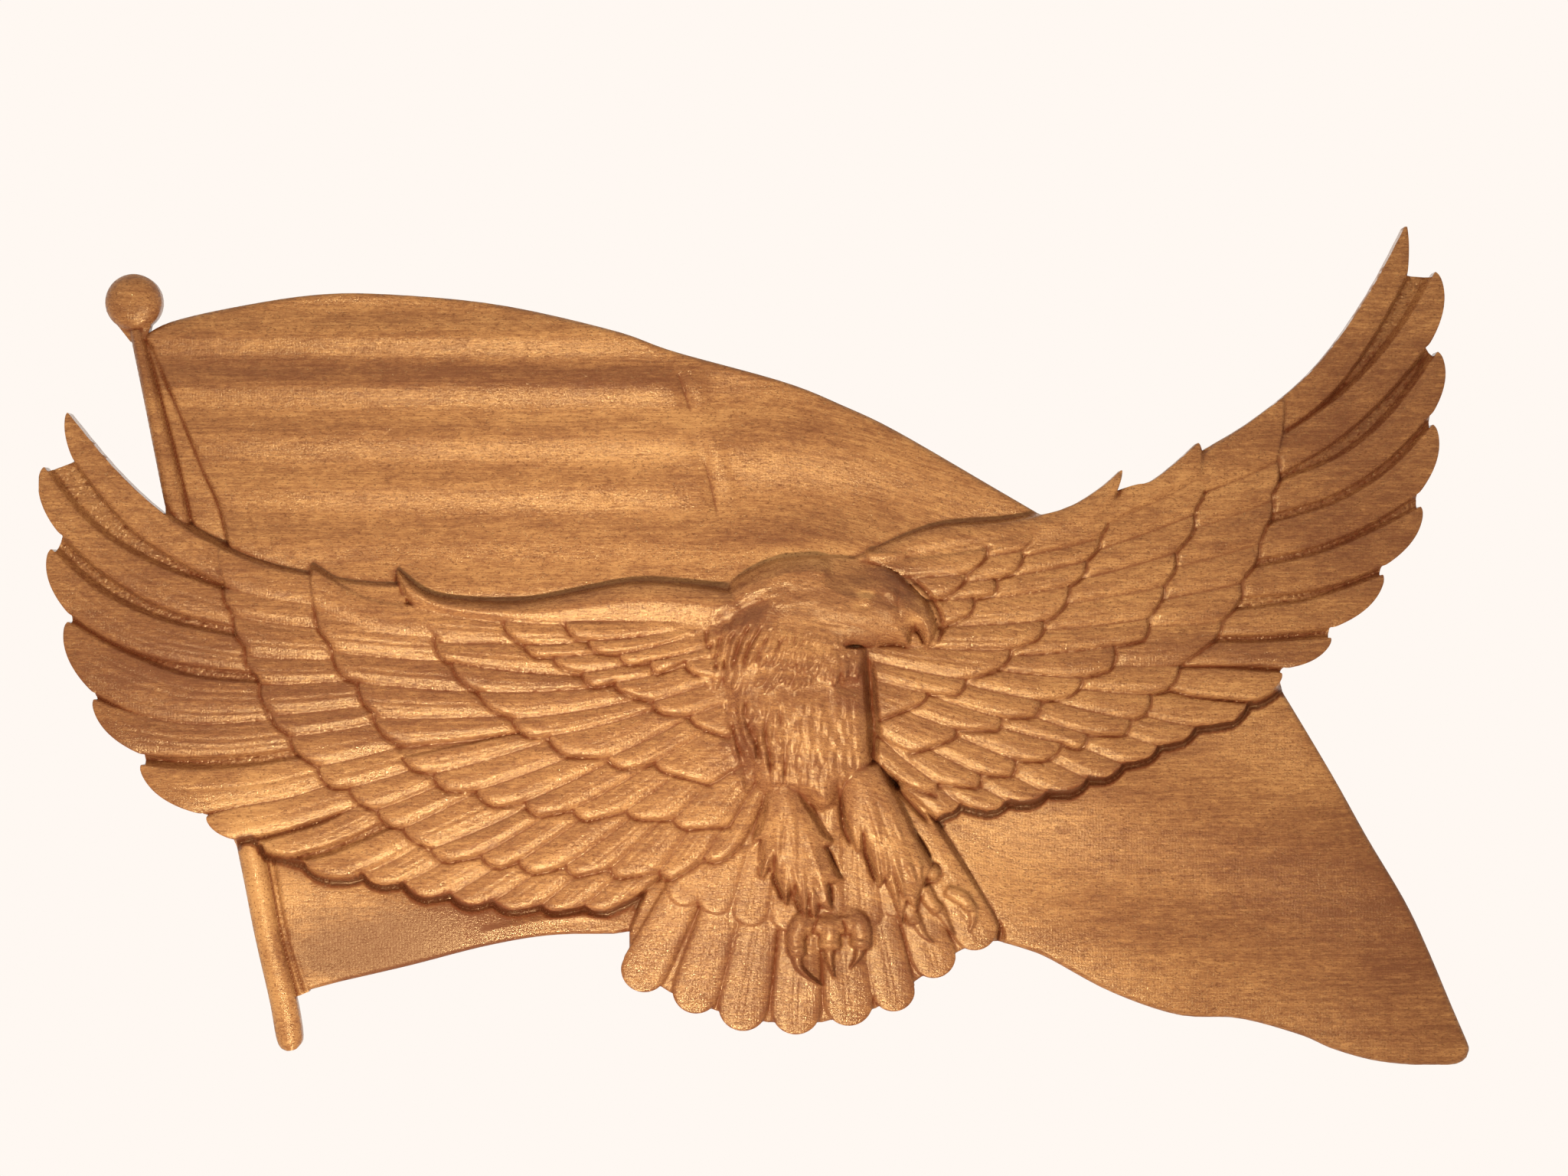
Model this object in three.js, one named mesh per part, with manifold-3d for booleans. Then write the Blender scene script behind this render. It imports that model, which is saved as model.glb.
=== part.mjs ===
// Eagle wall plaque: an eagle with spread wings over a waving flag on its pole, carved in one board.
// It is modelled lying down, with x to the right, y up the wall and z out of the board, and stood up
// at the end.
// The origin is on the flat back, at the middle of the outline, where the plaque is fixed to the wall.
// All sizes are millimetres.

import * as THREE from "three";
import { mergeVertices } from "three/addons/utils/BufferGeometryUtils.js";
import Module from "manifold-3d";

const wasm = await Module();
wasm.setup();

// Depths of the carving, measured out from the wall
const FLAG_FACE = 10;
const FLAG_WAVE = 1.2;
const FLAG_SWELL = 0.8;
const HEM_FLOOR = 8.2;
const POLE_CREST = 12.5;
const POLE_EDGE = 8;
const BALL_CREST = 17;
const GAP_FLOOR = 12;
const FLIGHT_TIP = 18.5;
const FLIGHT_ROOT = 16;
const ROW_STEP = 1.1;
const ARM_CREST = 24.5;
const ARM_TIP = 22.2;
const BODY_EDGE = 17;
const BODY_CREST = 26.5;
const HEAD_EDGE = 21;
const HEAD_CREST = 29.5;
const LEG_EDGE = 18.5;
const LEG_CREST = 24.5;
const TAIL_TIP = 13.5;
const COVERT_TIP = 16;
const TAIL_FLOOR = 8.5;

// Every piece of carving runs this far behind the back plane before the back is cut flat
const BEHIND = 2;
const BACK_CUT = [700, 500, 40];

// Feathers: how far the face drops to its edges, where across the width it is highest, and how far
// past its width a feather reaches under its neighbours, as a part of the width
const FEATHER_CROWN = 1.5;
const FEATHER_CREST = 0.62;
const TUCK = 0.04;

// Feather ends: the arch leans to the leading side, and the end rounds off over the last part of the length
const ARCH_LEAN = 0.8;
const ARCH_FULLNESS = 0.8;
const END_SHARPNESS = 4;
const FLIGHT_END = 0.16;

// The first row of coverts lies a little lower than the even steps would put it
const FIRST_ROW_DROP = 0.8;

// How finely the feathers are divided
const FLIGHT_STATIONS = 4;
const LONG_ROWS = 3;
const ROW_COLUMNS = 3;
const FAN_COLUMNS = 5;
const GAP_STATIONS = [0.3, 0.6, 0.85];
const GAP_END = 0.97;

const point = ([x, y]) => new THREE.Vector2(x, y);
const rail = (places) => new THREE.SplineCurve(places.map(point));
const mix = THREE.MathUtils.lerp;

// Turns a closed three.js geometry into a solid that can be joined and cut.
function solidOf(geometry) {
  const bare = geometry.clone();
  bare.deleteAttribute("normal");
  bare.deleteAttribute("uv");
  const merged = mergeVertices(bare, 1e-4);
  return new wasm.Manifold(
    new wasm.Mesh({
      numProp: 3,
      vertProperties: merged.attributes.position.array,
      triVerts: new Uint32Array(merged.index.array),
    }),
  );
}

// A closed block whose top is a grid of points and whose foot is flat, behind the back plane.
function gridBlock(rows) {
  const count = rows.length;
  const across = rows[0].length;
  const positions = [];
  rows.forEach((row) => row.forEach((p) => positions.push(p.x, p.y, p.z)));
  rows.forEach((row) => row.forEach((p) => positions.push(p.x, p.y, -BEHIND)));
  const top = (i, j) => i * across + j;
  const foot = (i, j) => count * across + i * across + j;
  const faces = [];
  const quad = (a, b, c, d) => faces.push(a, b, c, a, c, d);
  for (let i = 0; i + 1 < count; i += 1) {
    for (let j = 0; j + 1 < across; j += 1) {
      quad(top(i, j), top(i + 1, j), top(i + 1, j + 1), top(i, j + 1));
      quad(foot(i, j), foot(i, j + 1), foot(i + 1, j + 1), foot(i + 1, j));
    }
    quad(top(i, 0), foot(i, 0), foot(i + 1, 0), top(i + 1, 0));
    quad(top(i + 1, across - 1), foot(i + 1, across - 1), foot(i, across - 1), top(i, across - 1));
  }
  for (let j = 0; j + 1 < across; j += 1) {
    quad(top(0, j + 1), foot(0, j + 1), foot(0, j), top(0, j));
    quad(top(count - 1, j), foot(count - 1, j), foot(count - 1, j + 1), top(count - 1, j + 1));
  }
  const geometry = new THREE.BufferGeometry();
  geometry.setAttribute("position", new THREE.Float32BufferAttribute(positions, 3));
  geometry.setIndex(faces);
  const block = solidOf(geometry);
  if (block.volume() > 0) {
    return block;
  }
  geometry.setIndex(faces.toReversed());
  return solidOf(geometry);
}

// A closed block with an outline for its wall and a top that rises over the middle of the outline.
// Its rings are copies of the outline, or inside it of an inner outline, shrunk towards the middle,
// and height(x, y, scale) gives how high each place on them stands.
function domeBlock(outline, middle, rings, height, inner = outline) {
  const positions = [];
  const around = outline.length;
  rings.forEach((scale) => {
    const ring = scale === 1 ? outline : inner;
    ring.forEach(([x, y]) => {
      const place = [mix(middle[0], x, scale), mix(middle[1], y, scale)];
      positions.push(...place, height(...place, scale));
    });
  });
  outline.forEach(([x, y]) => positions.push(x, y, -BEHIND));
  const crest = positions.length / 3;
  positions.push(middle[0], middle[1], height(middle[0], middle[1], 0));
  positions.push(middle[0], middle[1], -BEHIND);
  const foot = rings.length * around;
  const faces = [];
  for (let i = 0; i < around; i += 1) {
    const next = (i + 1) % around;
    for (let ring = 0; ring + 1 < rings.length; ring += 1) {
      const low = ring * around;
      const high = low + around;
      faces.push(low + i, low + next, high + next, low + i, high + next, high + i);
    }
    const last = (rings.length - 1) * around;
    faces.push(last + i, last + next, crest);
    faces.push(i, foot + i, foot + next, i, foot + next, next);
    faces.push(foot + i, crest + 1, foot + next);
  }
  const geometry = new THREE.BufferGeometry();
  geometry.setAttribute("position", new THREE.Float32BufferAttribute(positions, 3));
  geometry.setIndex(faces);
  const block = solidOf(geometry);
  if (block.volume() > 0) {
    return block;
  }
  geometry.setIndex(faces.toReversed());
  return solidOf(geometry);
}

// How high a feather's face stands across its width, from the leading edge at 0 to the trailing edge at 1.
function crown(v) {
  const reach = v < FEATHER_CREST ? FEATHER_CREST : 1 - FEATHER_CREST;
  return 1 - ((v - FEATHER_CREST) / reach) ** 2;
}

// How far a feather's end stands out across its width: a low arch, or a half circle.
const arch = (v) => Math.sin(Math.PI * v ** ARCH_LEAN) ** ARCH_FULLNESS;
const halfCircle = (v) => Math.sqrt(1 - (2 * v - 1) ** 2);

// The direction in which a feather's end faces, square to the line between the ends of its two rails.
function endNormal(lead, trail) {
  const across = trail.getPoint(1).sub(lead.getPoint(1)).normalize();
  const normal = new THREE.Vector2(across.y, -across.x);
  return normal.dot(lead.getTangent(1)) > 0 ? normal : normal.negate();
}

// A place on a feather: u runs along it from root to tip, v from the leading rail to the trailing rail.
// bulge is how far the end stands past the ends of the rails.
function featherPlace({ lead, trail, bulge, end = arch }, u, v) {
  const past = bulge * end(THREE.MathUtils.clamp(v, 0, 1)) * u ** END_SHARPNESS;
  return lead.getPoint(u).lerp(trail.getPoint(u), v).addScaledVector(endNormal(lead, trail), past);
}

// A feather between two rails that run from its root to its tip, with a rounded end.
function feather({ root, tip, rise = FEATHER_CROWN, stations = 3, columns = 3, ...shape }) {
  const rows = [];
  for (let i = 0; i <= stations; i += 1) {
    const u = i / stations;
    const row = [];
    for (let j = 0; j <= columns; j += 1) {
      const v = mix(-TUCK, 1 + TUCK, j / columns);
      const place = featherPlace(shape, u, v);
      const height = mix(root, tip, u) + rise * (crown(v) - 1);
      row.push(new THREE.Vector3(place.x, place.y, height));
    }
    rows.push(row);
  }
  return gridBlock(rows);
}

// The floor of the gap between two neighbouring feathers. It reaches under both, to their middles, and ends
// at the notch.
function gapFloor(upper, lower) {
  const halfway = (a, b) => point(a).lerp(point(b), 0.5).toArray();
  const middle = ({ lead, trail }) => rail(lead.map((place, i) => halfway(place, trail[i])));
  const edges = [middle(upper), middle(lower)];
  const rows = GAP_STATIONS.map((u) => edges.map((edge) => edge.getPoint(u)));
  rows.push([rail(upper.trail).getPoint(1), rail(lower.lead).getPoint(GAP_END)]);
  return gridBlock(rows.map((row) => row.map(({ x, y }) => new THREE.Vector3(x, y, GAP_FLOOR))));
}

// A row of feathers side by side, whose boundaries run from a root line to a tip line.
// bow bends the boundaries, and changes evenly along the row.
function featherRow({ tips, roots, perSpan, bow, bulge, root, tip, stations }) {
  const tipLine = rail(tips);
  const rootLine = rail(roots);
  const count = (tips.length - 1) * perSpan;
  const boundary = (k) => {
    const part = k / count;
    const start = rootLine.getPoint(part);
    const end = tipLine.getPoint(part);
    const run = end.clone().sub(start);
    const side = new THREE.Vector2(-run.y, run.x);
    const bend = start.clone().lerp(end, 0.5).addScaledVector(side, mix(bow[0], bow[1], part));
    return new THREE.QuadraticBezierCurve(start, bend, end);
  };
  const rows = [];
  for (let i = 0; i <= stations; i += 1) {
    const u = i / stations;
    const row = [];
    for (let j = 0; j <= count * ROW_COLUMNS; j += 1) {
      const k = Math.min(Math.floor(j / ROW_COLUMNS), count - 1);
      const v = j / ROW_COLUMNS - k;
      const place = featherPlace({ lead: boundary(k), trail: boundary(k + 1), bulge }, u, v);
      const height = mix(root, tip, u) + FEATHER_CROWN * (crown(v) - 1);
      row.push(new THREE.Vector3(place.x, place.y, height));
    }
    rows.push(row);
  }
  return gridBlock(rows);
}

// The places across a bar at which its round top is built, from one edge to the other
const BAR_SECTION = [-1, -0.6, 0, 0.6, 1];

// A half-round bar along a line, such as a toe or the pole.
function bar(places, halfWidths, edge, crest, stations = 6) {
  const line = rail(places);
  const widths = rail(halfWidths.map((w, i) => [i, w]));
  const rows = [];
  for (let i = 0; i <= stations; i += 1) {
    const t = i / stations;
    const middle = line.getPoint(t);
    const run = line.getTangent(t);
    const side = new THREE.Vector2(-run.y, run.x);
    const half = widths.getPoint(t).y;
    const row = BAR_SECTION.map((s) => {
      const place = middle.clone().addScaledVector(side, s * half);
      const height = mix(edge, crest, Math.sqrt(1 - s * s));
      return new THREE.Vector3(place.x, place.y, height);
    });
    rows.push(row);
  }
  return gridBlock(rows);
}

// Left wing

const LEFT_PRIMARIES = [
  {
    lead: [[-150, 15], [-192, 30], [-225, 41], [-251, 56], [-273, 76], [-293, 100]],
    trail: [[-150, 8], [-192, 17], [-225, 26], [-258, 44], [-276, 61], [-290, 79]],
  },
  {
    lead: [[-160, 10], [-192, 14], [-229, 25], [-262, 38], [-285, 54], [-303, 77]],
    trail: [[-160, 0], [-190, 4], [-224, 9], [-253, 17], [-277, 31], [-295, 47]],
  },
  {
    lead: [[-160, 0], [-185, -1], [-224, 5], [-255, 12], [-280, 24], [-300, 42]],
    trail: [[-160, -12], [-185, -13], [-214, -11], [-250, -6], [-273, 2], [-291, 13]],
  },
  {
    lead: [[-155, -15], [-182, -17], [-214, -15], [-244, -12], [-272, -1], [-293, 11]],
    trail: [[-150, -22], [-175, -27], [-206, -31], [-238, -33], [-262, -29], [-281, -20]],
  },
  {
    lead: [[-150, -22], [-175, -27], [-206, -31], [-238, -33], [-262, -29], [-282, -22]],
    trail: [[-150, -31], [-170, -38], [-194, -43], [-217, -46], [-240, -47], [-260, -46]],
  },
  {
    lead: [[-150, -34], [-170, -42], [-194, -47], [-217, -51], [-240, -52], [-262, -50]],
    trail: [[-140, -42], [-160, -51], [-182, -59], [-202, -65], [-220, -68], [-235, -71]],
  },
  {
    lead: [[-140, -42], [-160, -51], [-182, -59], [-202, -65], [-220, -68], [-234, -72]],
    trail: [[-135, -50], [-152, -60], [-170, -68], [-187, -74], [-204, -79], [-221, -82]],
  },
  {
    lead: [[-135, -50], [-152, -60], [-170, -68], [-184, -75], [-197, -79], [-210, -83]],
    trail: [[-128, -58], [-142, -66], [-158, -74], [-170, -80], [-183, -85], [-195, -88]],
  },
  {
    lead: [[-122, -60], [-140, -69], [-157, -78], [-168, -83], [-180, -88], [-192, -91]],
    trail: [[-115, -66], [-128, -75], [-143, -84], [-152, -89], [-160, -93], [-168, -96]],
  },
];

const LEFT_ROWS = [
  {
    tips: [[-168, -96], [-150, -100], [-130, -105], [-112, -108], [-91, -110], [-72, -110], [-51, -106]],
    roots: [[-122, -68], [-106, -70], [-88, -72], [-70, -74], [-54, -74], [-38, -76], [-22, -72]],
    perSpan: 1,
    bow: [0.06, 0.03],
    bulge: 5,
  },
  {
    tips: [[-225, 25], [-211, -20], [-187, -51], [-149, -79], [-102, -92], [-42, -96], [-6, -84]],
    roots: [[-170, 16], [-150, -12], [-135, -36], [-100, -58], [-66, -60], [-18, -58], [6, -58]],
    perSpan: 3,
    bow: [0.03, 0.05],
    bulge: 3.5,
  },
  {
    tips: [[-188, 16], [-168, -17], [-150, -43], [-118, -61], [-77, -70], [-34, -74], [2, -72]],
    roots: [[-118, 14], [-112, -8], [-98, -24], [-72, -40], [-40, -46], [-12, -50], [8, -55]],
    perSpan: 2,
    bow: [0.02, 0.06],
    bulge: 3.5,
  },
  {
    tips: [[-142, 15], [-129, -8], [-103, -30], [-65, -48], [-28, -53], [2, -60]],
    roots: [[-88, 10], [-66, -8], [-44, -18], [-20, -28], [-2, -38], [8, -48]],
    perSpan: 2,
    bow: [0.02, 0.08],
    bulge: 3.5,
  },
  {
    tips: [[-108, 12], [-85, -5], [-58, -16], [-32, -24], [-8, -36]],
    roots: [[-70, 12], [-52, 2], [-32, -4], [-14, -12], [4, -26]],
    perSpan: 2,
    bow: [0.02, 0.06],
    bulge: 3,
  },
  {
    tips: [[-81, 11], [-71, 3], [-58, -4], [-44, -9], [-30, -12], [-12, -20]],
    roots: [[-46, 12], [-36, 6], [-24, 2], [-12, -2], [-4, -6], [4, -12]],
    perSpan: 1,
    bow: [0.02, 0.04],
    bulge: 3,
  },
];

const LEFT_ALULA = {
  lead: [[-118, 17], [-150, 18], [-166, 21], [-178, 27], [-188, 33]],
  trail: [[-118, 6], [-145, 9], [-160, 11], [-175, 13], [-187, 15]],
};
const LEFT_ARM = {
  lead: [[-5, 22], [-22, 25], [-50, 27], [-75, 23], [-97, 19], [-120, 19], [-139, 22], [-152, 32]],
  trail: [[-5, 4], [-22, 8], [-45, 9], [-68, 9], [-90, 8], [-110, 10], [-127, 12], [-142, 14]],
};

// Right wing

const RIGHT_PRIMARIES = [
  {
    lead: [[150, 58], [184, 80], [212, 97], [238, 119], [260, 149], [276, 178]],
    trail: [[150, 48], [190, 72], [222, 90], [246, 109], [264, 134], [277, 158]],
  },
  {
    lead: [[150, 48], [190, 72], [222, 89], [250, 108], [272, 132], [289, 160]],
    trail: [[150, 38], [190, 58], [222, 73], [247, 88], [268, 107], [285, 127]],
  },
  {
    lead: [[150, 36], [190, 56], [222, 70], [250, 82], [271, 100], [290, 126]],
    trail: [[150, 28], [188, 43], [220, 53], [248, 62], [270, 76], [287, 97]],
  },
  {
    lead: [[150, 28], [188, 43], [220, 53], [248, 62], [270, 76], [288, 95]],
    trail: [[150, 20], [184, 30], [213, 34], [240, 40], [262, 49], [281, 63]],
  },
  {
    lead: [[150, 20], [184, 30], [213, 34], [240, 40], [262, 49], [283, 60]],
    trail: [[150, 15], [178, 19], [206, 21], [230, 23], [248, 27], [266, 34]],
  },
  {
    lead: [[150, 8], [178, 13], [206, 16], [230, 19], [248, 24], [267, 31]],
    trail: [[140, 1], [168, 1], [194, 2], [212, 2], [228, 3], [244, 6]],
  },
  {
    lead: [[140, 1], [168, 1], [194, 2], [212, 2], [228, 3], [245, 4]],
    trail: [[130, -8], [155, -8], [180, -8], [195, -8], [210, -8], [224, -9]],
  },
  {
    lead: [[130, -8], [155, -8], [180, -9], [195, -9], [210, -10], [224, -11]],
    trail: [[125, -12], [150, -15], [176, -18], [188, -21], [199, -22], [209, -23]],
  },
];

const RIGHT_ROWS = [
  {
    tips: [
      [209, -24], [187, -34], [171, -42], [156, -50], [141, -56], [124, -62], [107, -66], [87, -67],
      [76, -74],
    ],
    roots: [
      [150, -8], [138, -18], [128, -25], [114, -31], [100, -36], [88, -40], [74, -43], [60, -44],
      [46, -50],
    ],
    perSpan: 1,
    bow: [-0.05, -0.04],
    bulge: 4.5,
  },
  {
    tips: [[221, 79], [217, 54], [206, 27], [187, -4], [166, -22], [140, -39], [108, -53], [77, -60]],
    roots: [[172, 60], [166, 42], [158, 18], [134, -4], [110, -14], [92, -25], [70, -33], [44, -44]],
    perSpan: 2,
    bow: [-0.03, -0.05],
    bulge: 3.5,
  },
  {
    tips: [[189, 73], [184, 52], [173, 27], [152, -3], [120, -23], [84, -35], [48, -52]],
    roots: [[132, 46], [125, 32], [110, 14], [88, -4], [68, -12], [44, -18], [30, -40]],
    perSpan: 2,
    bow: [-0.03, -0.05],
    bulge: 3.5,
  },
  {
    tips: [[149, 57], [142, 38], [121, 8], [89, -15], [52, -30]],
    roots: [[92, 40], [86, 28], [72, 8], [44, -6], [30, -18]],
    perSpan: 2,
    bow: [-0.03, -0.05],
    bulge: 3.5,
  },
  {
    tips: [[120, 50], [113, 40], [101, 26], [92, 17], [80, 7]],
    roots: [[70, 42], [66, 34], [60, 24], [54, 14], [48, 6]],
    perSpan: 1,
    bow: [-0.03, -0.03],
    bulge: 3,
  },
  {
    tips: [[98, 42], [89, 30], [80, 20]],
    roots: [[60, 38], [56, 28], [50, 18]],
    perSpan: 1,
    bow: [-0.03, -0.03],
    bulge: 3,
  },
];

const RIGHT_ALULA = {
  lead: [[110, 50], [134, 60], [152, 66], [161, 69], [168, 70.5], [178, 78], [188, 87]],
  trail: [[110, 38], [122, 42], [135, 46], [147, 51], [160, 58], [175, 65], [189, 73]],
};
const RIGHT_HAND = {
  lead: [[150, 54], [176, 70], [193, 84], [208, 94], [224, 106]],
  trail: [[150, 44], [170, 56], [190, 66], [206, 72], [221, 79]],
};
const RIGHT_ARM = {
  lead: [[38, 36], [53, 43], [77, 51], [102, 53], [120, 56], [134, 60], [147, 68], [156, 76]],
  trail: [[38, 26], [55, 33], [76, 36], [95, 38], [112, 40], [128, 42], [140, 45], [149, 57]],
};

// Heights of the rows, the flight feathers first and each row nearer the shoulder a step higher.
const rowHeights = (index) => ({
  root: FLIGHT_ROOT - FIRST_ROW_DROP + index * ROW_STEP,
  tip: FLIGHT_TIP + index * ROW_STEP - (index === 0 ? FIRST_ROW_DROP : 0),
  stations: index < LONG_ROWS ? 2 : 1,
});

// The flight feathers, the sunken gaps between them and the rows of coverts over them.
function wing(primaries, rows) {
  const flight = primaries.map(({ lead, trail }) =>
    feather({
      lead: rail(lead),
      trail: rail(trail),
      root: FLIGHT_ROOT,
      tip: FLIGHT_TIP,
      bulge: FLIGHT_END * point(lead.at(-1)).distanceTo(point(trail.at(-1))),
      stations: FLIGHT_STATIONS,
    }),
  );
  const sunken = primaries.slice(1).map((lower, k) => gapFloor(primaries[k], lower));
  const coverts = rows.map((row, index) => featherRow({ ...row, ...rowHeights(index) }));
  return [...flight, ...sunken, ...coverts];
}

// The round roll of the wing's arm, which falls from the shoulder to the hand.
const armRoll = ({ lead, trail }) =>
  feather({
    lead: rail(lead),
    trail: rail(trail),
    root: ARM_CREST,
    tip: ARM_TIP,
    bulge: 1,
    rise: 5,
    stations: 9,
    columns: 5,
  });

// A feather on the wing's leading edge, whose tip stands at the given height.
const leadingFeather = ({ lead, trail }, tip) =>
  feather({
    lead: rail(lead),
    trail: rail(trail),
    root: tip - 1,
    tip,
    bulge: 1.5,
    stations: FLIGHT_STATIONS,
  });

// Flag, pole and ball

const POLE_AXIS = [
  [-264.5, 134], [-258, 106], [-252, 80], [-246.3, 54], [-216.5, -83], [-209, -121], [-202, -150],
  [-199, -167], [-198, -171.5],
];
const POLE_HALF_WIDTHS = [2.5, 3.2, 4, 4.4, 5.3, 5.2, 5.6, 5.4, 3];
const BALL_MIDDLE = [-265.5, 147];
const BALL_RADIUS = 12;
const BALL_SIDES = 16;
const BALL_NECK = [[-277, 143], [-266.8, 130], [-260, 131], [-258, 138], [-265, 148]];

const FLAG_TOP = [
  [-262, 132], [-250, 138.5], [-225, 144.5], [-190, 150], [-159, 150.5], [-110, 146], [-61, 135], [-35, 126],
  [12, 113], [37, 103], [60, 92], [102, 67.5], [120, 57],
];
const FLAG_UNDER_WING = [[150, 40], [180, 10], [200, -10], [222, -13]];
const FLAG_RIGHT = [[225, -20], [246, -55], [261, -82], [277, -109], [287, -130], [297, -155], [304, -172]];
const FLAG_BOTTOM_RIGHT = [
  [302, -176], [284, -178.5], [264, -176.5], [246, -171.5], [232, -165.5], [206, -158.5], [180, -157],
  [151, -147], [125, -133], [115, -129], [103, -125.5],
];
const FLAG_UNDER_TAIL = [[60, -122], [0, -116], [-40, -116], [-51, -121]];
const FLAG_BOTTOM_LEFT = [[-61, -122.5], [-88, -123], [-115, -127.5], [-148, -136], [-178, -143]];
const HEM_LINE = [[-193, -147], [-201, -121], [-207, -83], [-225, 42], [-237, 77], [-248, 104], [-259, 129]];

// How far the groove along the pole runs in under the flag
const HEM_LAP = 2;

// The distance from crest to crest of the flag's waves, and the height of one crest up the wall
const WAVE_LENGTH_LEFT = 29;
const WAVE_LENGTH_RIGHT = 43;
const WAVE_CREST_LEFT = 132;
const WAVE_CREST_RIGHT = 112;
const SWELL_LENGTH = 67;
const SWELL_CREST = -35;

// Where the waves change over from the left part to the right part, and from the swell to the waves
const CREASE = [-50, -10];
const SWELL_TO_WAVES = [-20, 40];

// The columns and the reach of the flag's face before it is cut to its outline
const FLAG_COLUMNS = [-275, CREASE[0], -30, CREASE[1], 90, 312];
const FLAG_FOOT = -185;
const FLAG_SPLIT = 20;
const FLAG_HEAD = 156;

// The flag's face: level waves by the pole, which shift and grow longer past a crease over the eagle's back,
// and a slow swell in the loose corner below the right wing.
function flagHeight(x, y) {
  const past = THREE.MathUtils.smoothstep(x, ...CREASE);
  const length = mix(WAVE_LENGTH_LEFT, WAVE_LENGTH_RIGHT, past);
  const crest = mix(WAVE_CREST_LEFT, WAVE_CREST_RIGHT, past);
  const upper = THREE.MathUtils.smoothstep(y, ...SWELL_TO_WAVES);
  const wave = Math.cos((2 * Math.PI * (y - crest)) / length);
  const swell = Math.cos((2 * Math.PI * (y - SWELL_CREST)) / SWELL_LENGTH);
  return FLAG_FACE + FLAG_WAVE * wave * upper + FLAG_SWELL * swell * (1 - upper);
}

// A block with a flat top, cut to an outline.
function slab(outline, top) {
  const run = { depth: BEHIND + top, bevelEnabled: false };
  const block = new THREE.ExtrudeGeometry(new THREE.Shape(outline), run);
  block.translate(0, 0, -BEHIND);
  return solidOf(block);
}

function flag() {
  const levels = [FLAG_FOOT];
  for (let y = SWELL_CREST - 2 * SWELL_LENGTH; y < FLAG_SPLIT; y += SWELL_LENGTH / 4) {
    levels.push(y);
  }
  for (let y = WAVE_CREST_LEFT - 3.75 * WAVE_LENGTH_LEFT; y < FLAG_HEAD; y += WAVE_LENGTH_LEFT / 4) {
    levels.push(y);
  }
  const rows = FLAG_COLUMNS.map((x) => levels.map((y) => new THREE.Vector3(x, y, flagHeight(x, y))));
  const outline = [
    ...rail(FLAG_TOP).getPoints(20),
    ...FLAG_UNDER_WING.map(point),
    ...rail(FLAG_RIGHT).getPoints(8),
    ...rail(FLAG_BOTTOM_RIGHT).getPoints(15),
    ...FLAG_UNDER_TAIL.map(point),
    ...rail(FLAG_BOTTOM_LEFT).getPoints(8),
    ...rail(HEM_LINE).getPoints(8),
  ];
  return gridBlock(rows).intersect(slab(outline, 2 * FLAG_FACE));
}

function poleAndBall() {
  const pole = bar(POLE_AXIS, POLE_HALF_WIDTHS, POLE_EDGE, POLE_CREST, POLE_AXIS.length - 1);
  const hem = HEM_LINE.map(([x, y]) => [x + HEM_LAP, y]);
  const groove = slab([...POLE_AXIS.slice(0, -2), ...hem].map(point), HEM_FLOOR);
  const neck = slab(BALL_NECK.map(point), HEM_FLOOR);
  const ball = new THREE.SphereGeometry(BALL_RADIUS, BALL_SIDES, BALL_SIDES / 2);
  ball.rotateX(Math.PI / 2);
  ball.scale(1, 1, BALL_CREST / BALL_RADIUS);
  ball.translate(BALL_MIDDLE[0], BALL_MIDDLE[1], 0);
  return [pole, groove, neck, solidOf(ball)];
}

// Body, head, legs and tail

const BODY_OUTLINE = [
  [-18, 25], [-21, 14], [-21, 2], [-17, -12], [-13, -28], [-11, -40], [-6, -49], [0, -58], [4, -63],
  [14, -64], [21, -64], [27, -70], [34, -70], [37, -61], [44, -62], [52, -55], [51, -40], [50, -20],
  [49, 0], [50, 20], [44, 36], [25, 38.5], [10, 37], [0, 33.5], [-9, 29],
];
const BODY_MIDDLE = [19, -12];
const BODY_REACH = [38, 62];

const CAPE_FRINGE = [[-22, 9], [-18, -9], [-8, -15], [6, -10], [20, -13], [34, -17], [44, -13], [50, -2]];
const CAPE_NAPE = [[50, 20], [44, 36], [25, 39], [10, 37.5], [0, 34], [-9, 29.5], [-18, 25]];
const CAPE_MIDDLE = [20, 14];
const CAPE_LOCKS = 10;
const CAPE_STEP = 1.2;

// How far the cape's fringe reaches at the notches and at the tips of its locks, as parts of its radius
const CAPE_NOTCH = 0.9;
const CAPE_TIP = 1.08;

// The levels between which the cape's rim sinks into the nape
const NAPE_RISE = [8, 26];

// Locks on the flanks: their roots, and how far each reaches down to its tip
const FLANK_LOCKS = [[-9, -20], [-8, -30], [-4, -38], [1, -26], [2, -42], [8, -36], [34, -38], [42, -30]];
const FLANK_REACH = [3, -17];
const LOCK_HALF_WIDTH = 2.6;
const LOCK_DROP = 1.6;
const BREAST_RIM = 3;

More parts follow.
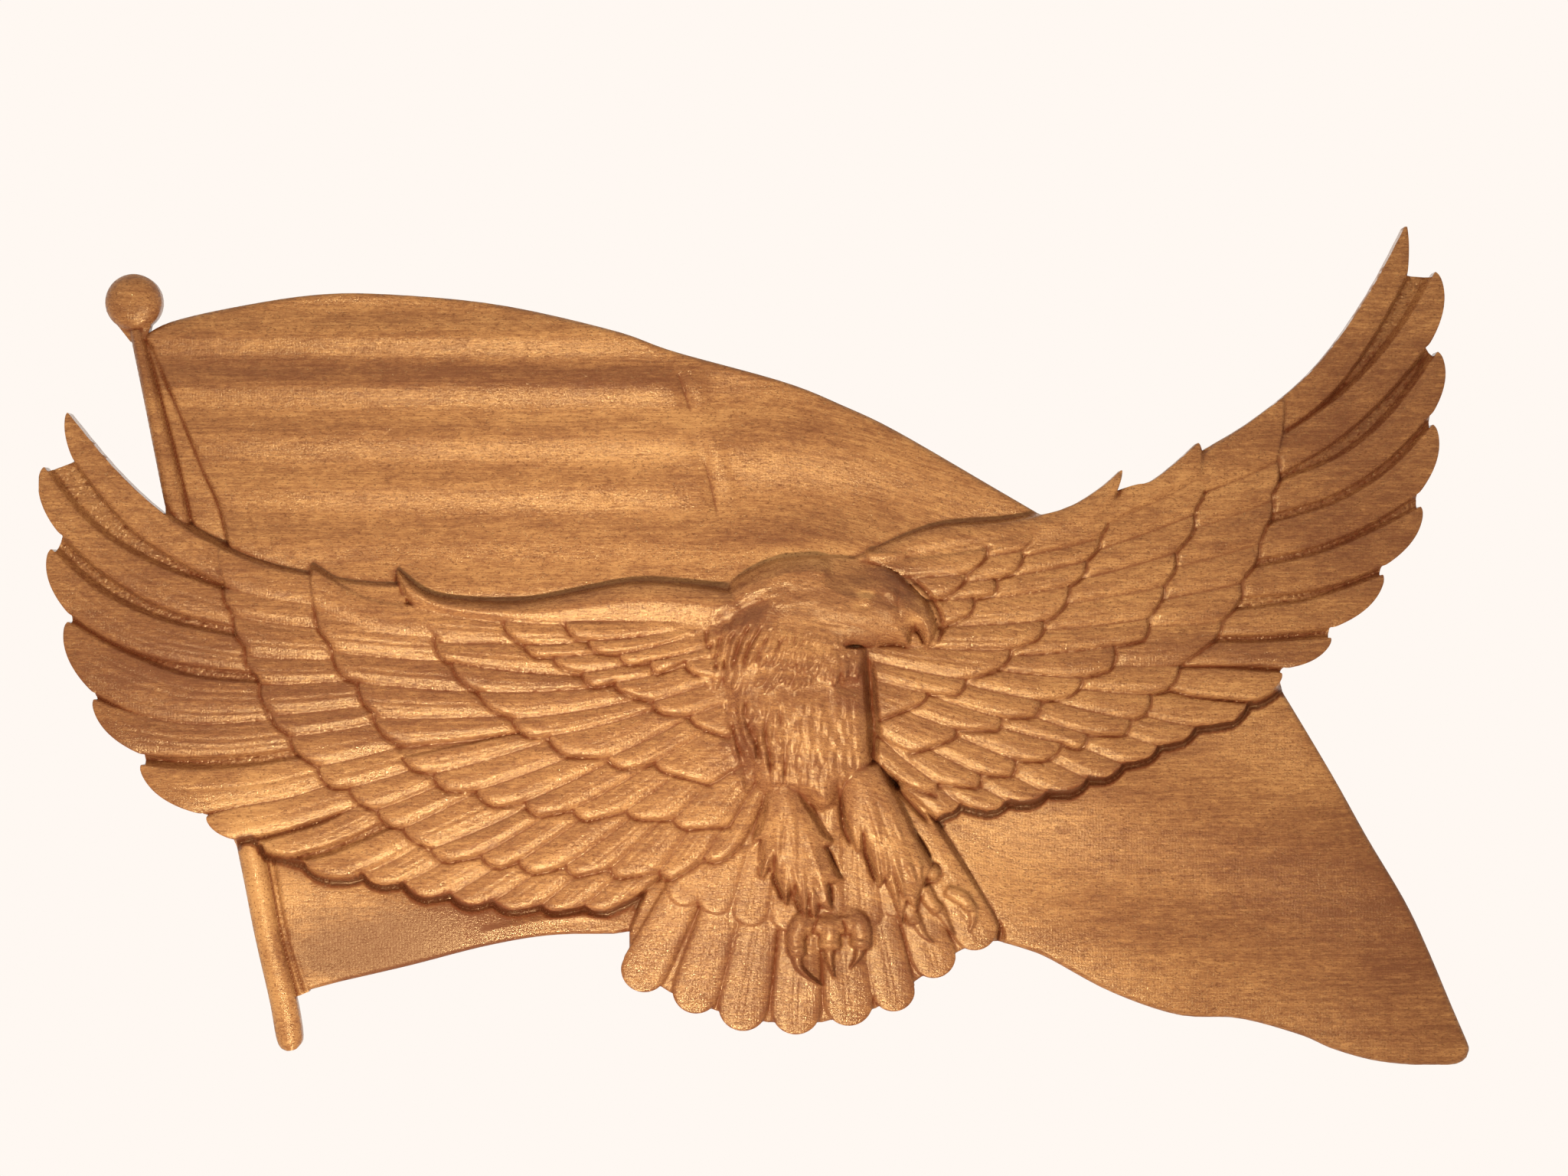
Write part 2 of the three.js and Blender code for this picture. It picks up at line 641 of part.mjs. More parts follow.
const HEAD_OUTLINE = [
  [22, 38.5], [35, 38.5], [46, 37], [55, 34.5], [61, 31], [65, 26.5], [69, 23], [68, 12], [60, 5],
  [50, 1], [38, 3], [26, 10], [16, 20], [16, 32],
];
const HEAD_MIDDLE = [43, 19];
const BEAK = {
  lead: [[52, 34], [63, 28], [71, 21.5], [76, 14], [77, 7], [72, -1]],
  trail: [[50, 12], [57, 10], [64, 8.5], [69, 7], [71, 4], [71.5, 0]],
};
const JAW = {
  lead: [[42, 9], [52, 8], [59, 7], [65, 2]],
  trail: [[46, 1], [52, 1], [58, 2], [64.5, 0]],
};
const BEAK_ROOT = 28.5;
const BEAK_TIP = 23;
const JAW_ROOT = 26;
const JAW_TIP = 22;
const BROW = [[38, 24], [46, 25.5], [54, 25], [62, 22]];
const BROW_HALF_WIDTHS = [1, 2.4, 2.2, 1];
const BROW_EDGE = 25.5;
const BROW_CREST = 30.1;
const EYE = [46.5, 20];
const EYE_RADIUS = 3;
const EYE_LEVEL = 27.5;

const LEFT_LEG = {
  middle: [16, -78],
  outline: [
    [8, -52], [4, -63], [1, -74], [-1, -82], [2, -82], [1, -90], [2, -99], [6, -94], [8, -98], [13, -110],
    [15, -104], [18, -110], [21, -117], [23, -112], [25, -116], [27, -110], [32.5, -112], [31, -101],
    [37, -99], [33, -92], [30, -85], [33, -83], [27, -73], [20, -61], [16, -52],
  ],
};
const RIGHT_LEG = {
  middle: [53, -77],
  outline: [
    [38, -50], [36, -63], [38, -74], [43, -87], [46, -86], [49, -93], [52, -102], [55, -99], [58, -106],
    [62, -117], [64, -108], [68, -112], [70, -104], [75, -93], [70, -84], [66, -76], [60, -64], [52, -50],
  ],
};

// The middle of each tail feather's round end, with its half width
const TAIL_ENDS = [
  [-47.5, -137, 9.5], [-25.5, -146, 9.6], [-5.5, -153, 10], [17, -154.5, 10], [39.5, -151, 9.8],
  [58.5, -146, 8.7], [75.5, -131.5, 9], [93, -119.5, 9.2],
];
const COVERT_ENDS = [
  [-30, -102, 8], [-16.5, -105, 8.5], [-2, -110, 8.5], [14, -112, 8.5], [30, -113, 8.5], [46, -111, 8.5],
  [59, -108, 6.5],
];
const TAIL_FALL = 1;
const TAIL_ROOT = [-9, -62];
const COVERT_ROOT = [-9, -54];
const TAIL_ROOT_SPACING = 10;
const TAIL_ROOT_HALF = 5;
const TAIL_BASE = [
  [-46, -102], [-54, -122], [-54, -136], [-37, -147], [-17, -155], [5, -160], [28, -160], [51, -154],
  [67, -143], [85, -130.5], [101, -122], [103, -123], [99, -112], [88, -95], [77, -77], [50, -70],
  [0, -70], [-20, -88],
];

const LEFT_TOES = [
  { toe: [[27, -113], [20, -118], [16, -124], [17, -130]], claw: [[18, -129], [18, -136], [26, -143]] },
  { toe: [[31, -113], [31, -119], [31, -127]], claw: [[31, -127], [31.5, -133], [32, -139]] },
  { toe: [[34, -113], [41, -117], [45, -121], [45, -127]], claw: [[45, -127], [45, -131], [41, -135]] },
];
const RIGHT_TOES = [
  { toe: [[64, -108], [69, -112], [73, -117]], claw: [[72, -117], [75, -122], [75, -126]] },
  { toe: [[68, -106], [77, -109], [84, -114]], claw: [[84, -114], [87, -118], [87, -123]] },
  { toe: [[72, -104], [82, -105], [91, -110]], claw: [[91, -110], [93, -115], [91, -121]] },
];
const KNOB = [75, -96];
const KNOB_RADIUS = 3.2;
const KNOB_LEVEL = 16.5;

const TOE_HALF_WIDTHS = [4.4, 4.1, 3.8, 3.5];
const CLAW_HALF_WIDTHS = [2.8, 1.6, 0.4];
const TOE_EDGE = 15;
const TOE_CREST = 21;
const CLAW_CREST = 20;

// A small ball, such as the eye, whose middle stands at a level.
function smallBall([x, y], radius, level) {
  const ball = new THREE.SphereGeometry(radius, 8, 6);
  ball.translate(x, y, level);
  return solidOf(ball);
}

// How high the body's round form stands at a place.
function bodyHeight(x, y) {
  const away = ((x - BODY_MIDDLE[0]) / BODY_REACH[0]) ** 2 + ((y - BODY_MIDDLE[1]) / BODY_REACH[1]) ** 2;
  return BODY_EDGE + (BODY_CREST - BODY_EDGE) * Math.sqrt(Math.max(0, 1 - away));
}

// A round form's height over its outline, from the edge at a scale of 1 to the crest at its middle.
const domeHeight = (edge, crest) => (x, y, scale) => mix(edge, crest, Math.sqrt(1 - scale ** 2));

// A pointed lock of plumage that lies on the body, from a root to a tip.
function lock(root, tip) {
  const start = point(root);
  const end = point(tip);
  const side = end.clone().sub(start).normalize().rotateAround(new THREE.Vector2(), Math.PI / 2);
  const rows = [0, 0.55, 1].map((t) => {
    const middle = start.clone().lerp(end, t);
    const half = LOCK_HALF_WIDTH * (t === 1 ? 0.15 : 1 - 0.35 * t);
    return [-1, 0, 1].map((s) => {
      const place = middle.clone().addScaledVector(side, s * half);
      const lift = t * CAPE_STEP - LOCK_DROP * Math.abs(s);
      return new THREE.Vector3(place.x, place.y, bodyHeight(place.x, place.y) + lift);
    });
  });
  return gridBlock(rows);
}

// The cape of neck plumage, which lies over the breast and ends in a fringe of pointed locks.
function cape() {
  const fringe = rail(CAPE_FRINGE).getPoints(2 * CAPE_LOCKS).map(({ x, y }) => [x, y]);
  const locks = fringe.map(([x, y], i) => {
    const reach = i % 2 === 0 ? CAPE_NOTCH : CAPE_TIP;
    return [mix(CAPE_MIDDLE[0], x, reach), mix(CAPE_MIDDLE[1], y, reach)];
  });
  const capeHeight = (x, y, scale) => {
    const nape = scale === 1 ? THREE.MathUtils.smoothstep(y, ...NAPE_RISE) : 0;
    const rim = mix(CAPE_STEP, -2 * CAPE_STEP, nape);
    return bodyHeight(x, y) + rim + (1 - scale);
  };
  const inner = [...fringe, ...CAPE_NAPE];
  return domeBlock([...locks, ...CAPE_NAPE], CAPE_MIDDLE, [1, 0.8, 0.4], capeHeight, inner);
}

// The breast and belly, with the cape over them and locks on the flanks.
function body() {
  const breastHeight = (x, y, scale) => bodyHeight(x, y) - (scale === 1 ? BREAST_RIM : 0);
  const breast = domeBlock(BODY_OUTLINE, BODY_MIDDLE, [1, 0.93, 0.75, 0.4], breastHeight);
  const flank = FLANK_LOCKS.map(([x, y]) => lock([x, y], [x + FLANK_REACH[0], y + FLANK_REACH[1]]));
  return [breast, cape(), ...flank];
}

// The skull, the hooked beak over the jaw, the brow and the eye.
function head() {
  const skullHeight = domeHeight(HEAD_EDGE, HEAD_CREST);
  const skull = domeBlock(HEAD_OUTLINE, HEAD_MIDDLE, [1, 0.92, 0.7, 0.35], skullHeight);
  const beak = feather({
    lead: rail(BEAK.lead),
    trail: rail(BEAK.trail),
    root: BEAK_ROOT,
    tip: BEAK_TIP,
    bulge: 0.5,
    rise: 4,
    stations: 6,
  });
  const jaw = feather({
    lead: rail(JAW.lead),
    trail: rail(JAW.trail),
    root: JAW_ROOT,
    tip: JAW_TIP,
    bulge: 0.5,
    rise: 2,
  });
  const brow = bar(BROW, BROW_HALF_WIDTHS, BROW_EDGE, BROW_CREST, BROW.length - 1);
  return [skull, beak, jaw, brow, smallBall(EYE, EYE_RADIUS, EYE_LEVEL)];
}

// A feathered leg, whose outline has the tips of its tufts.
const leg = ({ middle, outline }) =>
  domeBlock(outline, middle, [1, 0.72, 0.35], domeHeight(LEG_EDGE, LEG_CREST));

// Toes that grow thinner towards their ends, each with a tapered claw.
function foot(toes) {
  return toes.flatMap(({ toe, claw }) => [
    bar(toe, TOE_HALF_WIDTHS.slice(0, toe.length), TOE_EDGE, TOE_CREST, 3),
    bar(claw, CLAW_HALF_WIDTHS, TOE_EDGE, CLAW_CREST, 3),
  ]);
}

// One round-tipped feather of the tail or of the coverts over it.
function fanFeather([x, y, halfWidth], root, tip) {
  const start = point(root);
  const end = new THREE.Vector2(x, y);
  const run = end.clone().sub(start).normalize();
  const side = new THREE.Vector2(-run.y, run.x);
  const edge = (sign) => {
    const from = start.clone().addScaledVector(side, sign * TAIL_ROOT_HALF);
    const to = end.clone().addScaledVector(side, sign * halfWidth);
    return new THREE.LineCurve(from, to);
  };
  return feather({
    lead: edge(-1),
    trail: edge(1),
    root: tip + TAIL_FALL,
    tip,
    bulge: halfWidth,
    end: halfCircle,
    rise: 1,
    stations: 2,
    columns: FAN_COLUMNS,
  });
}

// The fan of tail feathers, the shorter coverts over it, and the floor that shows between their ends.
function tail() {
  const row = (ends, [x, y], tip) =>
    ends.map((end, k) => fanFeather(end, [x + k * TAIL_ROOT_SPACING, y], tip));
  const floor = slab(TAIL_BASE.map(point), TAIL_FLOOR);
  return [floor, ...row(TAIL_ENDS, TAIL_ROOT, TAIL_TIP), ...row(COVERT_ENDS, COVERT_ROOT, COVERT_TIP)];
}

// The small round knob behind the right foot
function knob() {
  const round = new THREE.EllipseCurve(...KNOB, KNOB_RADIUS, KNOB_RADIUS);
  const stem = slab(round.getPoints(8).slice(1), KNOB_LEVEL);
  return [smallBall(KNOB, KNOB_RADIUS, KNOB_LEVEL), stem];
}

// Everything is joined into one solid, and its back is cut flat.

const pieces = [
  flag(),
  ...poleAndBall(),
  ...tail(),
  ...wing(LEFT_PRIMARIES, LEFT_ROWS),
  ...wing(RIGHT_PRIMARIES, RIGHT_ROWS),
  leadingFeather(LEFT_ALULA, FLIGHT_TIP + 2 * ROW_STEP),
  leadingFeather(RIGHT_ALULA, FLIGHT_TIP + 2 * ROW_STEP),
  leadingFeather(RIGHT_HAND, FLIGHT_TIP + ROW_STEP),
  armRoll(LEFT_ARM),
  armRoll(RIGHT_ARM),
  ...body(),
  ...head(),
  leg(LEFT_LEG),
  leg(RIGHT_LEG),
  ...knob(),
  ...foot(LEFT_TOES),
  ...foot(RIGHT_TOES),
];

const joined = pieces.reduce((whole, piece) => whole.add(piece));
const behind = new THREE.BoxGeometry(...BACK_CUT);
behind.translate(0, 0, -BACK_CUT[2] / 2);
const carved = joined.subtract(solidOf(behind)).getMesh();

const geometry = new THREE.BufferGeometry();
geometry.setAttribute("position", new THREE.Float32BufferAttribute(carved.vertProperties, 3));
geometry.setIndex(new THREE.Uint32BufferAttribute(carved.triVerts, 1));
const faceted = geometry.toNonIndexed();
faceted.computeVertexNormals();

const WOOD = new THREE.MeshStandardMaterial({ color: 0xb57a49, roughness: 0.42, metalness: 0 });
const plaque = new THREE.Mesh(faceted, WOOD);
plaque.name = "eagle_plaque";

const part = new THREE.Group();
part.rotation.x = Math.PI / 2;
part.add(plaque);

export default part;
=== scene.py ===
# Eagle wall plaque: the carved relief of the one board, with its wood, light and camera
import math

import bpy
import numpy as np
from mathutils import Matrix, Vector
from mathutils.geometry import delaunay_2d_cdt


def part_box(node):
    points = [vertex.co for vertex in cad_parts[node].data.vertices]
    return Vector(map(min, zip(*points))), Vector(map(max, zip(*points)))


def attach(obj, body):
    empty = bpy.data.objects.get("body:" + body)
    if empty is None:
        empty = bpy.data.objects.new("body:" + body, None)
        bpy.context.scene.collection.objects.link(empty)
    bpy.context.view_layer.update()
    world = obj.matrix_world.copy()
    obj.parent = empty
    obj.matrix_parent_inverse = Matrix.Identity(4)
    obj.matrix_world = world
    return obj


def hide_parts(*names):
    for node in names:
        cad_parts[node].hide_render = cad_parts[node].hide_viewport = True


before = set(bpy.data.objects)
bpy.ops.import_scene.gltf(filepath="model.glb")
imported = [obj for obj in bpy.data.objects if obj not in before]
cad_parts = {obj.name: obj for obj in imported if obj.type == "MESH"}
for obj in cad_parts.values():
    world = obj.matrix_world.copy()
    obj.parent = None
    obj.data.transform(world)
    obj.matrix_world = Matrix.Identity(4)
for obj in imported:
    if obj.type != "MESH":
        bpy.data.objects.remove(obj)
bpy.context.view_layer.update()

# The board is carved on a grid of heights, in millimetres out from the wall: columns run along x, levels
# up z. inside is how far each place lies within the outline, the next grid the shade painted along the
# eagle's foot, gaps where the floors between the flight feathers are.
STEP = 0.5
WEST, EAST, SOUTH, NORTH = -307.0, 307.0, -181.0, 182.0
COLUMNS = np.arange(WEST, EAST + STEP / 2, STEP)
LEVELS = np.arange(SOUTH, NORTH + STEP / 2, STEP)
BELOW = -40.0
height = np.full((LEVELS.size, COLUMNS.size), BELOW)
inside = np.full_like(height, BELOW)
# The shade painted along the eagle's foot
foot_shade = np.zeros_like(height)
gaps = np.zeros(height.shape, bool)
chance = np.random.default_rng(11)


def line(text):
    """Places from text, as rows of x and z in millimetres."""
    return np.array(text.split(), float).reshape(-1, 2)


def table(text):
    """Rows of lines from text: rows end with a semicolon, and a bar parts the lines in a row."""
    return [[line(part) for part in row.split("|")] for row in text.split(";")]


def mix(low, high, part):
    return low + (high - low) * part


def smooth(value, low, high):
    part = np.clip((value - low) / (high - low), 0, 1)
    return part * part * (3 - 2 * part)


def rail(places, parts):
    """Points on a smooth curve through the places, at the given parts of its run."""
    places = np.asarray(places, float)
    last = len(places) - 1
    run = np.clip(np.asarray(parts, float), 0, 1) * last
    near = np.minimum(run.astype(int), last - 1)
    part = (run - near)[:, None]
    before = places[np.maximum(near - 1, 0)]
    start = places[near]
    end = places[near + 1]
    after = places[np.minimum(near + 2, last)]
    pull_start = (end - before) / 2
    pull_end = (after - start) / 2
    cubic = (2 * start - 2 * end + pull_start + pull_end) * part ** 3
    square = (3 * end - 3 * start - 2 * pull_start - pull_end) * part ** 2
    return cubic + square + pull_start * part + start


def curve(places, count):
    """Evenly counted points on the smooth curve through the places."""
    return rail(places, np.linspace(0, 1, count))


def patch(places, margin):
    """The part of the board around some places, with the x and z of its grid points."""
    places = np.asarray(places)
    low = places.min(axis=0) - margin
    high = places.max(axis=0) + margin
    across = slice(max(0, int((low[0] - WEST) / STEP)), int((high[0] - WEST) / STEP) + 2)
    up = slice(max(0, int((low[1] - SOUTH) / STEP)), int((high[1] - SOUTH) / STEP) + 2)
    x, z = np.meshgrid(COLUMNS[across], LEVELS[up])
    return (up, across), x, z


def lay(window, top, edge, wall=2.5, bevel=0.8, fall=None):
    """Puts a form on the board: its face where edge is positive, rounded at the rim and falling past it."""
    close = np.clip(bevel - edge, 0, bevel)
    rounded = bevel - np.sqrt(np.maximum(bevel ** 2 - close ** 2, 0))
    past = np.minimum(edge, 0) * wall if fall is None else fall
    form = top - rounded + past
    height[window] = np.maximum(height[window], form)
    inside[window] = np.maximum(inside[window], edge)


NOWHERE = 1e9
TINY = 1e-9


def along(places, x, z):
    """For each stretch of a line, how far along it each place lies and the square of its distance."""
    for (ax, az), (bx, bz) in zip(places[:-1], places[1:]):
        dx, dz = bx - ax, bz - az
        part = np.clip(((x - ax) * dx + (z - az) * dz) / (dx * dx + dz * dz + 1e-12), 0, 1)
        yield part, (x - ax - part * dx) ** 2 + (z - az - part * dz) ** 2


def outline_distance(outline, x, z):
    """How far each place lies inside a closed outline, negative outside it."""
    outline = np.asarray(outline, float)
    outline = np.concatenate([outline, outline[:1]])
    nearest = np.full(x.shape, NOWHERE)
    within = np.zeros(x.shape, bool)
    for _, away in along(outline, x, z):
        nearest = np.minimum(nearest, away)
    for (ax, az), (bx, bz) in zip(outline[:-1], outline[1:]):
        if az != bz:
            crosses = (az > z) != (bz > z)
            within ^= crosses & (x < ax + (z - az) * (bx - ax) / (bz - az))
    nearest = np.sqrt(nearest)
    return np.where(within, nearest, -nearest)


def line_distance(places, x, z):
    """The distance of each place from a line, and the part of the line's run that is nearest."""
    places = np.asarray(places, float)
    steps = np.hypot(*np.diff(places, axis=0).T)
    starts = np.concatenate([[0], np.cumsum(steps)])
    nearest = np.full(x.shape, NOWHERE)
    run = np.zeros(x.shape)
    for k, (part, away) in enumerate(along(places, x, z)):
        closer = away < nearest
        nearest = np.where(closer, away, nearest)
        run = np.where(closer, starts[k] + part * steps[k], run)
    return np.sqrt(nearest), run / starts[-1]


def field(outline, margin):
    """The patch of an outline, and how far its places lie inside the outline."""
    window, x, z = patch(outline, margin)
    return window, x, z, outline_distance(outline, x, z)


def around(place, margin):
    """The patch around one place, and how far each of its places is from it."""
    window, x, z = patch([place], margin)
    return window, np.hypot(x - place[0], z - place[1])


def oval(x, z, middle, reach):
    """The square of how far each place is from the middle of an oval, which is 1 on its edge."""
    return ((x - middle[0]) / reach[0]) ** 2 + ((z - middle[1]) / reach[1]) ** 2


def plate(outline, level, margin, narrower=0.0, **shape):
    """A flat form inside an outline."""
    window, _, _, edge = field(outline, margin)
    lay(window, level, edge - narrower, **shape)


THIN_END = 0.35


def stroke(places, half, lift, taper=(0.15, 0.25)):
    """A groove cut along a line, or a ridge raised on it: lift is its height, half its half width."""
    path = curve(places, 4 * len(places)) if len(places) > 2 else places
    window, x, z = patch(path, half + 1)
    away, run = line_distance(path, x, z)
    ends = smooth(run, -0.001, taper[0] + 0.001) * smooth(1 - run, -0.001, taper[1] + 0.001)
    reach = half * mix(THIN_END, 1, ends)
    height[window] += lift * smooth(1 - away / reach, 0, 1) * ends


def strokes(marks, **settings):
    """Grooves and ridges from a table of half width and lift | places."""
    for ((half, lift),), places in marks:
        stroke(places, half, lift, **settings)


def soft_least(a, b, blend):
    """The lesser of two fields, rounded where they are close."""
    part = np.clip(0.5 + 0.5 * (b - a) / blend, 0, 1)
    return mix(b, a, part) - blend * part * (1 - part)


PATCH_MARGIN, STEEPEST, TANGLE = 4, 2, 0.01


class Strip:
    """The places between a leading and a trailing edge, measured along and across.

    u runs from the root to the tip and v from the leading edge to the trailing edge. cap is the line of the
    end, from one edge's end to the other's, or bulge is how far a plain arched end stands out.
    """

    def __init__(self, lead, trail, bulge=0.0, cap=None, round_end=False, corner=1.2):
        lead = np.asarray(lead, float)
        trail = np.asarray(trail, float)
        last = len(lead) - 1
        ends = np.concatenate([lead, trail] + ([cap] if cap is not None else []))
        wider = np.hypot(*(trail[-1] - lead[-1])) / 2 if round_end else 0
        self.window, x, z = patch(ends, PATCH_MARGIN + bulge + wider)
        chord = trail - lead
        width = np.hypot(*chord.T)
        middle = (lead + trail) / 2
        ahead = np.gradient(middle, axis=0)
        ahead /= np.hypot(*ahead.T)[:, None] + TINY
        turn = chord[:, 0] * ahead[:, 1] - chord[:, 1] * ahead[:, 0]
        square = np.abs(turn) / np.maximum(width, TINY)
        sign = np.sign(turn.sum())
        stations = (slice(None), None, None)
        beyond = chord[:, 0][stations] * (z - lead[:, 1][stations])
        beyond -= chord[:, 1][stations] * (x - lead[:, 0][stations])
        beyond *= sign / np.maximum(width, TINY)[stations]
        passed = (beyond >= 0).sum(axis=0)
        near = np.clip(passed - 1, 0, last - 1)
        rows, columns = np.indices(x.shape)
        here = beyond[near, rows, columns]
        there = beyond[near + 1, rows, columns]
        part = here / np.where(np.abs(here - there) < TINY, TINY, here - there)
        between = (passed > 0) & (passed <= last)
        tangled = between & ((part < -TANGLE) | (part > 1 + TANGLE))
        part = np.where(passed == 0, 0, np.where(passed > last, 1, np.clip(part, 0, 1)))
        base_x, base_z, chord_x, chord_z = (
            mix(values[near, k], values[near + 1, k], part) for values in (lead, chord) for k in (0, 1))
        wide = np.hypot(chord_x, chord_z)
        self.v = ((x - base_x) * chord_x + (z - base_z) * chord_z) / np.maximum(wide ** 2, TINY)
        self.wide = wide * mix(square[near], square[near + 1], part)
        self.u = (near + part) / last
        self.lead = self.v * self.wide
        self.trail = (1 - self.v) * self.wide
        self.past = beyond[last]
        self.root = beyond[0]
        over = (x - lead[last, 0]) * chord[last, 0] + (z - lead[last, 1]) * chord[last, 1]
        over = over / width[last] ** 2
        clipped = np.clip(over, 0, 1)
        if round_end:
            self.end = width[last] / 2 - np.hypot((over - 0.5) * width[last], np.maximum(self.past, 0))
            self.end = np.where(self.past > 0, self.end, width[last])
        elif cap is not None:
            offset = np.asarray(cap, float) - lead[last]
            run = offset @ chord[last] / width[last] ** 2
            out = (chord[last, 0] * offset[:, 1] - chord[last, 1] * offset[:, 0]) * sign / width[last]
            slope = np.abs(np.gradient(out, run)) / width[last]
            self.end = np.interp(over, run, out) - self.past
            self.end /= np.sqrt(1 + np.minimum(np.interp(over, run, slope), STEEPEST) ** 2)
        else:
            arch = np.sin(np.pi * clipped ** 0.8) ** 0.8
            slope = bulge * np.cos(np.pi * clipped) * 3 / max(width[last], TINY)
            self.end = (bulge * arch - self.past) / np.sqrt(1 + slope ** 2)
        self.edge = soft_least(np.minimum(self.lead, self.trail), self.end, corner)
        self.edge = np.minimum(self.edge, self.root + 1)
        self.edge = np.where(tangled, BELOW, self.edge)


def crown(v, crest, first, second):
    """How high a feather's face stands across its width, from 1 at its crest to 0 at its edges."""
    reach = np.where(v < crest, crest, 1 - crest)
    power = np.where(v < crest, first, second)
    return 1 - np.clip(np.abs(v - crest) / reach, 0, 1.5) ** power


# The flag, its pole and ball
POLE_AXIS = line("""
-264.5 134 -258 106 -252 80 -246.3 54 -216.5 -83 -209 -121 -202 -150 -199 -167 -198 -171.5""")
POLE_HALF_WIDTHS = [2.5, 3.2, 4, 4.4, 5.3, 5.2, 5.6, 5.4, 3]
BALL_MIDDLE, BALL_RADIUS = (-265.5, 147), 12
BALL_NECK = line("-277 143 -266.8 130 -260 131 -258 138 -265 148")
FLAG_TOP = line("""
-262 132 -250 138.5 -225 144.5 -190 150 -159 150.5 -110 146 -61 135 -35 126 12 113 37 103 60 92 102 67.5
  120 57""")
FLAG_UNDER_WING = line("150 40 180 10 200 -10 222 -13")
FLAG_RIGHT = line("225 -20 246 -55 261 -82 277 -109 287 -130 297 -154 303.4 -169 304 -172")
FLAG_BOTTOM_RIGHT = line("""
303 -175 300.6 -177 296 -178.2 284 -178.5 264 -176.5 246 -171.5 232 -165.5 206 -158.5 180 -157 151 -147
  125 -133 115 -129 103 -125.5""")
FLAG_UNDER_TAIL = line("60 -122 0 -116 -40 -116 -51 -121")
FLAG_BOTTOM_LEFT = line("-61 -122.5 -88 -123 -115 -127.5 -148 -136 -178 -143")
HEM_LINE = line("-193 -147 -201 -121 -207 -83 -225 42 -237 77 -248 104 -259 129")
EAGLE_TOP = line("-215 37 -190 30 -150 25 -97 19 -50 26 -5 25 22 38 42 38 77 50 120 57")
FLAG_MARKS = table("""
5 -0.55 | -37 124 -31 108 -26 90 -20 68 -14 46;
5 0.5 | -30 122 -24 107 -19 90 -12 68 -6 48;
1.3 -0.8 | -33.5 118 -30 107 -27 98;
1.3 -0.8 | -22.5 82 -19 68 -16 53;
1.1 -0.5 | -218 62 -213 47 -210 37;
0.8 -0.4 | -194 135.5 -189 140;
0.8 -0.4 | -217 91 -213 96;
0.8 -0.4 | -160 89 -154 93.5;
0.7 -0.35 | -198 75 -195 77.5;
0.8 -0.4 | -60 60 -61 66;
2.6 0.8 | -120 -122 -104 -119 -88 -116 -70 -115 -58 -118""")

# Flight feathers, and the feathers along the front of each wing: leading edge | trailing edge
LEFT_PRIMARIES = table("""
-150 15 -192 30 -225 41 -251 56 -273 76 -293 100 | -150 8 -192 17 -225 26 -258 44 -276 61 -290 79;
-160 10 -192 14 -229 25 -262 38 -285 54 -303 77 | -160 0 -190 4 -224 9 -253 17 -277 31 -295 47;
-160 0 -185 -1 -224 5 -255 12 -280 24 -300 42 | -160 -12 -185 -13 -214 -11 -250 -6 -273 2 -291 13;
-155 -15 -182 -17 -214 -15 -244 -12 -272 -1 -293 11
  | -150 -22 -175 -27 -206 -31 -238 -33 -262 -29 -281 -20;
-150 -22 -175 -27 -206 -31 -238 -33 -262 -29 -282 -22
  | -150 -31 -170 -38 -194 -43 -217 -46 -240 -47 -260 -46;
-150 -34 -170 -42 -194 -47 -217 -51 -240 -52 -262 -50
  | -140 -42 -160 -51 -182 -59 -202 -65 -220 -68 -235 -71;
-140 -42 -160 -51 -182 -59 -202 -65 -220 -68 -234 -72
  | -135 -50 -152 -60 -170 -68 -187 -74 -204 -79 -221 -82;
-135 -50 -152 -60 -170 -68 -184 -75 -197 -79 -210 -83
  | -128 -58 -142 -66 -158 -74 -170 -80 -183 -85 -195 -88;
-122 -60 -140 -69 -157 -78 -168 -83 -180 -88 -192 -91
  | -115 -66 -128 -75 -143 -84 -152 -89 -160 -93 -168 -96""")
RIGHT_PRIMARIES = table("""
150 58 184 80 212 97 238 119 260 149 276.6 180 | 150 48 190 72 222 90 246 109 264 134 277 158;
150 48 190 72 222 89 250 108 272 132 289 160 | 150 38 190 58 222 73 247 88 268 107 285 127;
150 36 190 56 222 70 250 82 271 100 290 126 | 150 30 186.5 45.5 218.4 56 246.4 65 267.6 78.6 286.6 98;
150 28 188 43 220 53 248 62 270 76 288 95 | 150 22 183 32.5 212 37 239 43 260.6 52 281 64.5;
150 20 184 30 213 34 240 40 262 49 283 60 | 150 15 178 19 206 21 230 23 248 27 266 34;
150 8 178 13 206 16 230 19 248 24 267 31 | 140 3 168 3.4 194 4.6 212 5 228 6 244 8;
140 1 168 1 194 2 212 2 228 3 245 4 | 130 -8 155 -8 180 -8 195 -8 210 -8 224 -9;
130 -8 155 -8 180 -9 195 -9 210 -10 224 -11 | 125 -12 150 -15 176 -18 188 -21 199 -22 209 -23""")
WING_FRONTS = table("""
-150 26 -170 27 -190 30.5 -208 34 -217 37.5 -228 42 | -150 12 -170 14 -185 17 -200 19 -215 22 -225 25.5;
-118 17 -150 18 -166 21 -178 27 -188 33 | -118 4 -145 4.5 -160 6 -175 11.5 -187 16.5;
150 54 176 70 193 84 208 94 224 106 | 150 44 170 56 190 66 206 72 221 79;
110 50 134 60 152 66 161 69 168 70.5 178 78 188 87 | 110 38 122 42 135 46 147 51 160 58 175 65 189 73;
-5 22 -22 25 -50 27 -75 23 -97 19 -120 19 -139 22 -152 32
  | -5 4 -22 8 -45 9 -68 9 -90 8 -110 10 -127 12 -142 14;
38 36 53 43 77 51 102 53 120 56 134 60 147 68 156 76
  | 38 26 55 33 76 36 95 38 112 40 128 42 140 45 149 57""")

